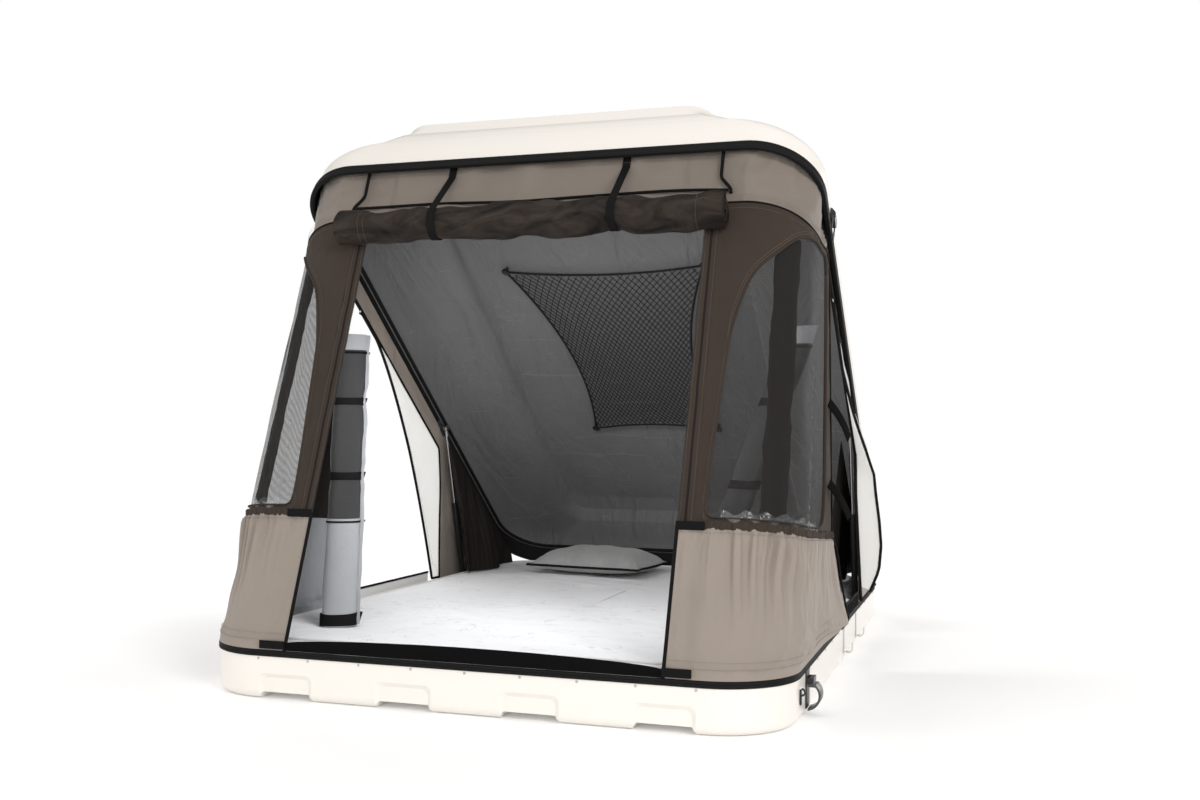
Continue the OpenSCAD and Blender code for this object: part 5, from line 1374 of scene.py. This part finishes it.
def pillow():
    w, l, t = 0.430, 0.310, 0.082
    n, m = 72, 54
    u, v = np.meshgrid(np.linspace(-1, 1, n), np.linspace(-1, 1, m))
    edge = 1 - 0.05 * (np.abs(u) ** 3 * np.abs(v) ** 3 * 4).clip(0, 1)
    pinch = 1 - 0.055 * (1 - v ** 2) * np.abs(u) ** 6
    X, Y = u * w / 2 * edge * pinch, v * l / 2 * edge * (1 - 0.05 * (1 - u ** 2) * np.abs(v) ** 6)
    body = ((1 - np.abs(u) ** 2.6) * (1 - np.abs(v) ** 2.6)).clip(0, 1) ** 0.55
    crease = 0.0035 * wrinkle(X, Y, 0.10, 15) * body
    top = t * 0.36 + 0.60 * t * body + crease
    low = t * 0.36 * (1 - body) + 0.004
    P = np.concatenate([np.stack([X, Y, top], -1).reshape(-1, 3), np.stack([X, Y, low], -1).reshape(-1, 3)])
    faces = grid_faces(m, n) + [tuple(n * m + i for i in f[::-1]) for f in grid_faces(m, n)]
    a = math.radians(-6)
    turn = np.array([[math.cos(a), -math.sin(a), 0], [math.sin(a), math.cos(a), 0], [0, 0, 1]])
    P = P @ turn.T + [-0.200, HY - 0.375, BED_TOP + FIT]
    uv = np.concatenate([np.stack([X, Y], -1).reshape(-1, 2)] * 2)
    obj = solid_object("pillow_cover", P, faces, uv, 70)
    rim = [*range(n), *(j * n + n - 1 for j in range(1, m)), *((m - 1) * n + i for i in range(n - 2, -1, -1)),
           *(j * n for j in range(m - 2, 0, -1))]
    seam = (P[rim] + P[[n * m + i for i in rim]]) / 2
    bm = bmesh.new()
    bm.from_mesh(obj.data)
    bm.verts.ensure_lookup_table()
    k = len(rim)
    for i in range(k):
        p, q = rim[i], rim[(i + 1) % k]
        bm.faces.new([bm.verts[j] for j in (q, p, n * m + p, n * m + q)])
    bm.to_mesh(obj.data)
    bm.free()
    outward(obj, 80)
    pin = np.zeros(len(P))
    pin[rim], pin[n * m:] = 1, 1
    settle(obj, pin, frames=18, grow=0.03, cap=0.010, gravity=0.0, pressure=1.5, stiff=8, bend=0.2)
    dress(obj, GREY, "base", "pillow")
    cord = tube("pillow_piping", resample(np.concatenate([seam, seam[:2]]), 0.006), 0.0040, 8)
    dress(cord, WEBBING)


mattress()
pillow()


# Storage net: two families of slanting cords, a drawn-in edge cord and corner tabs
def net_point(u, v):
    far_w, near_w, start, length, draw = 0.430, 0.610, 0.620, 0.770, 0.062
    x = (u - 0.5) * (far_w * (1 - v) + near_w * v) - (2 * u - 1) * draw * 4 * v * (1 - v)
    r = start + length * v - (2 * v - 1) * draw * 0.4 * 4 * u * (1 - u)
    sag = 0.020 * 16 * u * (1 - u) * v * (1 - v)
    return lid_point(x, r, LID_RISE - LINER_GAP - LINER_T - 0.020 + 0.001 - sag)


def net():
    parts = []
    step = 1 / 26
    for slope in (1, -1):
        for c in np.arange(-1 + step / 2, 1, step):
            u = np.linspace(0, 1, 60)
            v = u + c if slope > 0 else 1 - u + c
            ok = (v >= 0) & (v <= 1)
            if ok.sum() < 3:
                continue
            line = net_point(u[ok], v[ok])
            parts.append(tube("cord", line, 0.0013, 5))
    runs = (((0, 0), (1, 0), 50), ((1, 0), (1, 1), 60), ((1, 1), (0, 1), 50), ((0, 1), (0, 0), 60))
    edge = np.concatenate([np.linspace(a, b, n) for a, b, n in runs])
    line = net_point(edge[:, 0], edge[:, 1])
    parts.append(tube("cord", resample(line, 0.010), 0.0034, 6))
    for u in (0, 1):
        for v in (0, 1):
            c = net_point(u, v)
            a = np.linspace(0, 2 * math.pi, 21)
            axis_y, axis_h = lid_point(0, 0, 0) - lid_point(0, 1, 0), lid_point(0, 0, 1) - lid_point(0, 0, 0)
            loop = c + 0.0105 * (np.cos(a)[:, None] * np.array([1, 0, 0]) + np.sin(a)[:, None] * axis_y)
            parts.append(tube("cord", loop, 0.0026, 6, up=axis_h))
    bm = bmesh.new()
    for p in parts:
        bm.from_mesh(p.data)
        bpy.data.objects.remove(p)
    obj = joined(bm, "storage_net_cords")
    obj.data.shade_smooth()
    dress(obj, NET, "lid", "storage_net")


net()


# Camera, floor and light
def look():
    yaw, pitch, roll = (math.radians(d) for d in (-17.982, 1.399, 0.487))
    f = Vector((math.sin(yaw) * math.cos(pitch), math.cos(yaw) * math.cos(pitch), math.sin(pitch)))
    r = Vector((math.cos(yaw), -math.sin(yaw), 0))
    u = r.cross(f)
    r2, u2 = math.cos(roll) * r + math.sin(roll) * u, math.cos(roll) * u - math.sin(roll) * r
    cam = put("camera", bpy.data.cameras.new("camera"))
    cam.data.lens, cam.data.sensor_width, cam.data.sensor_fit = 37.306, 36, "HORIZONTAL"
    cam.data.clip_end = 200
    m = Matrix((r2, u2, -f)).transposed().to_4x4()
    m.translation = (1.122, -3.48169, 0.62727)
    cam.matrix_world = m
    scene.camera = cam


def stage():
    # The floor is lit near the object, so that it takes the shadow, and fades to plain white further out
    f = Finish("pale_floor", Roughness=0.9, Specular_IOR_Level=0.1, Emission_Strength=1.0)
    at = f.place()
    x, y, _ = f.axes(at)
    far = f.span((x * x + (y + 0.1) * (y + 0.1)).power(0.5), 1.15, 2.1)
    f.set(Base_Color=f.mix(far, (0.955, 0.955, 0.955), (0, 0, 0)),
          Emission_Color=f.mix(far, (0.10, 0.10, 0.10), (1, 1, 1)))
    s, z = 40.0, -0.001
    floor = solid_object("floor", [(-s, -s, z), (s, -s, z), (s, s, z), (-s, s, z)], [(0, 1, 2, 3)])
    floor.data.materials.append(f.mat)
    world = bpy.data.worlds.new("studio")
    world.use_nodes = True
    scene.world = world
    t = world.node_tree
    t.nodes.clear()
    kinds = ("OutputWorld", "MixShader", "LightPath", "Background", "Background")
    out, pick, path, air, card = (t.nodes.new("ShaderNode" + kind) for kind in kinds)
    air.inputs[0].default_value, air.inputs[1].default_value = (1.0, 0.99, 0.975, 1), 0.52
    card.inputs[0].default_value, card.inputs[1].default_value = (1, 1, 1, 1), 1.0
    for source, goal in ((path.outputs["Is Camera Ray"], pick.inputs[0]), (air.outputs[0], pick.inputs[1]),
                         (card.outputs[0], pick.inputs[2]), (pick.outputs[0], out.inputs[0])):
        t.links.new(source, goal)

    # Each light's name, place, aim, size in metres and power in watts
    for name, place, aim, size, power in (
            ("key_light", (3.4, -3.6, 2.4), (0, 0, 0.5), (1.8, 1.8), 105),
            ("fill_light", (-3.8, -2.4, 1.8), (0, 0, 0.5), (2.6, 2.6), 44),
            ("front_light", (0.6, -5.0, 1.3), (0, 0.3, 0.5), (3.0, 1.6), 46),
            ("top_light", (0, 0.2, 5.0), (0, 0, 0), (4.0, 4.0), 14),
            ("right_back_light", (3.0, 3.0, 1.3), (0.6, 0.2, 0.4), (2.4, 2.0), 60),
            ("left_back_light", (-3.2, 2.2, 1.3), (-0.6, 0.1, 0.5), (2.4, 2.0), 50),
            ("inner_light", (0, -0.66, 0.93), (0, 0.15, 0.14), (0.8, 0.14), 6.0)):
        lamp = bpy.data.lights.new(name, "AREA")
        lamp.shape, lamp.size, lamp.size_y, lamp.energy = "RECTANGLE", *size, power
        aimed = (Vector(aim) - Vector(place)).to_track_quat("-Z", "Y")
        put(name, lamp).matrix_world = Matrix.Translation(place) @ aimed.to_matrix().to_4x4()


look()
stage()
scene.view_settings.view_transform = "Standard"
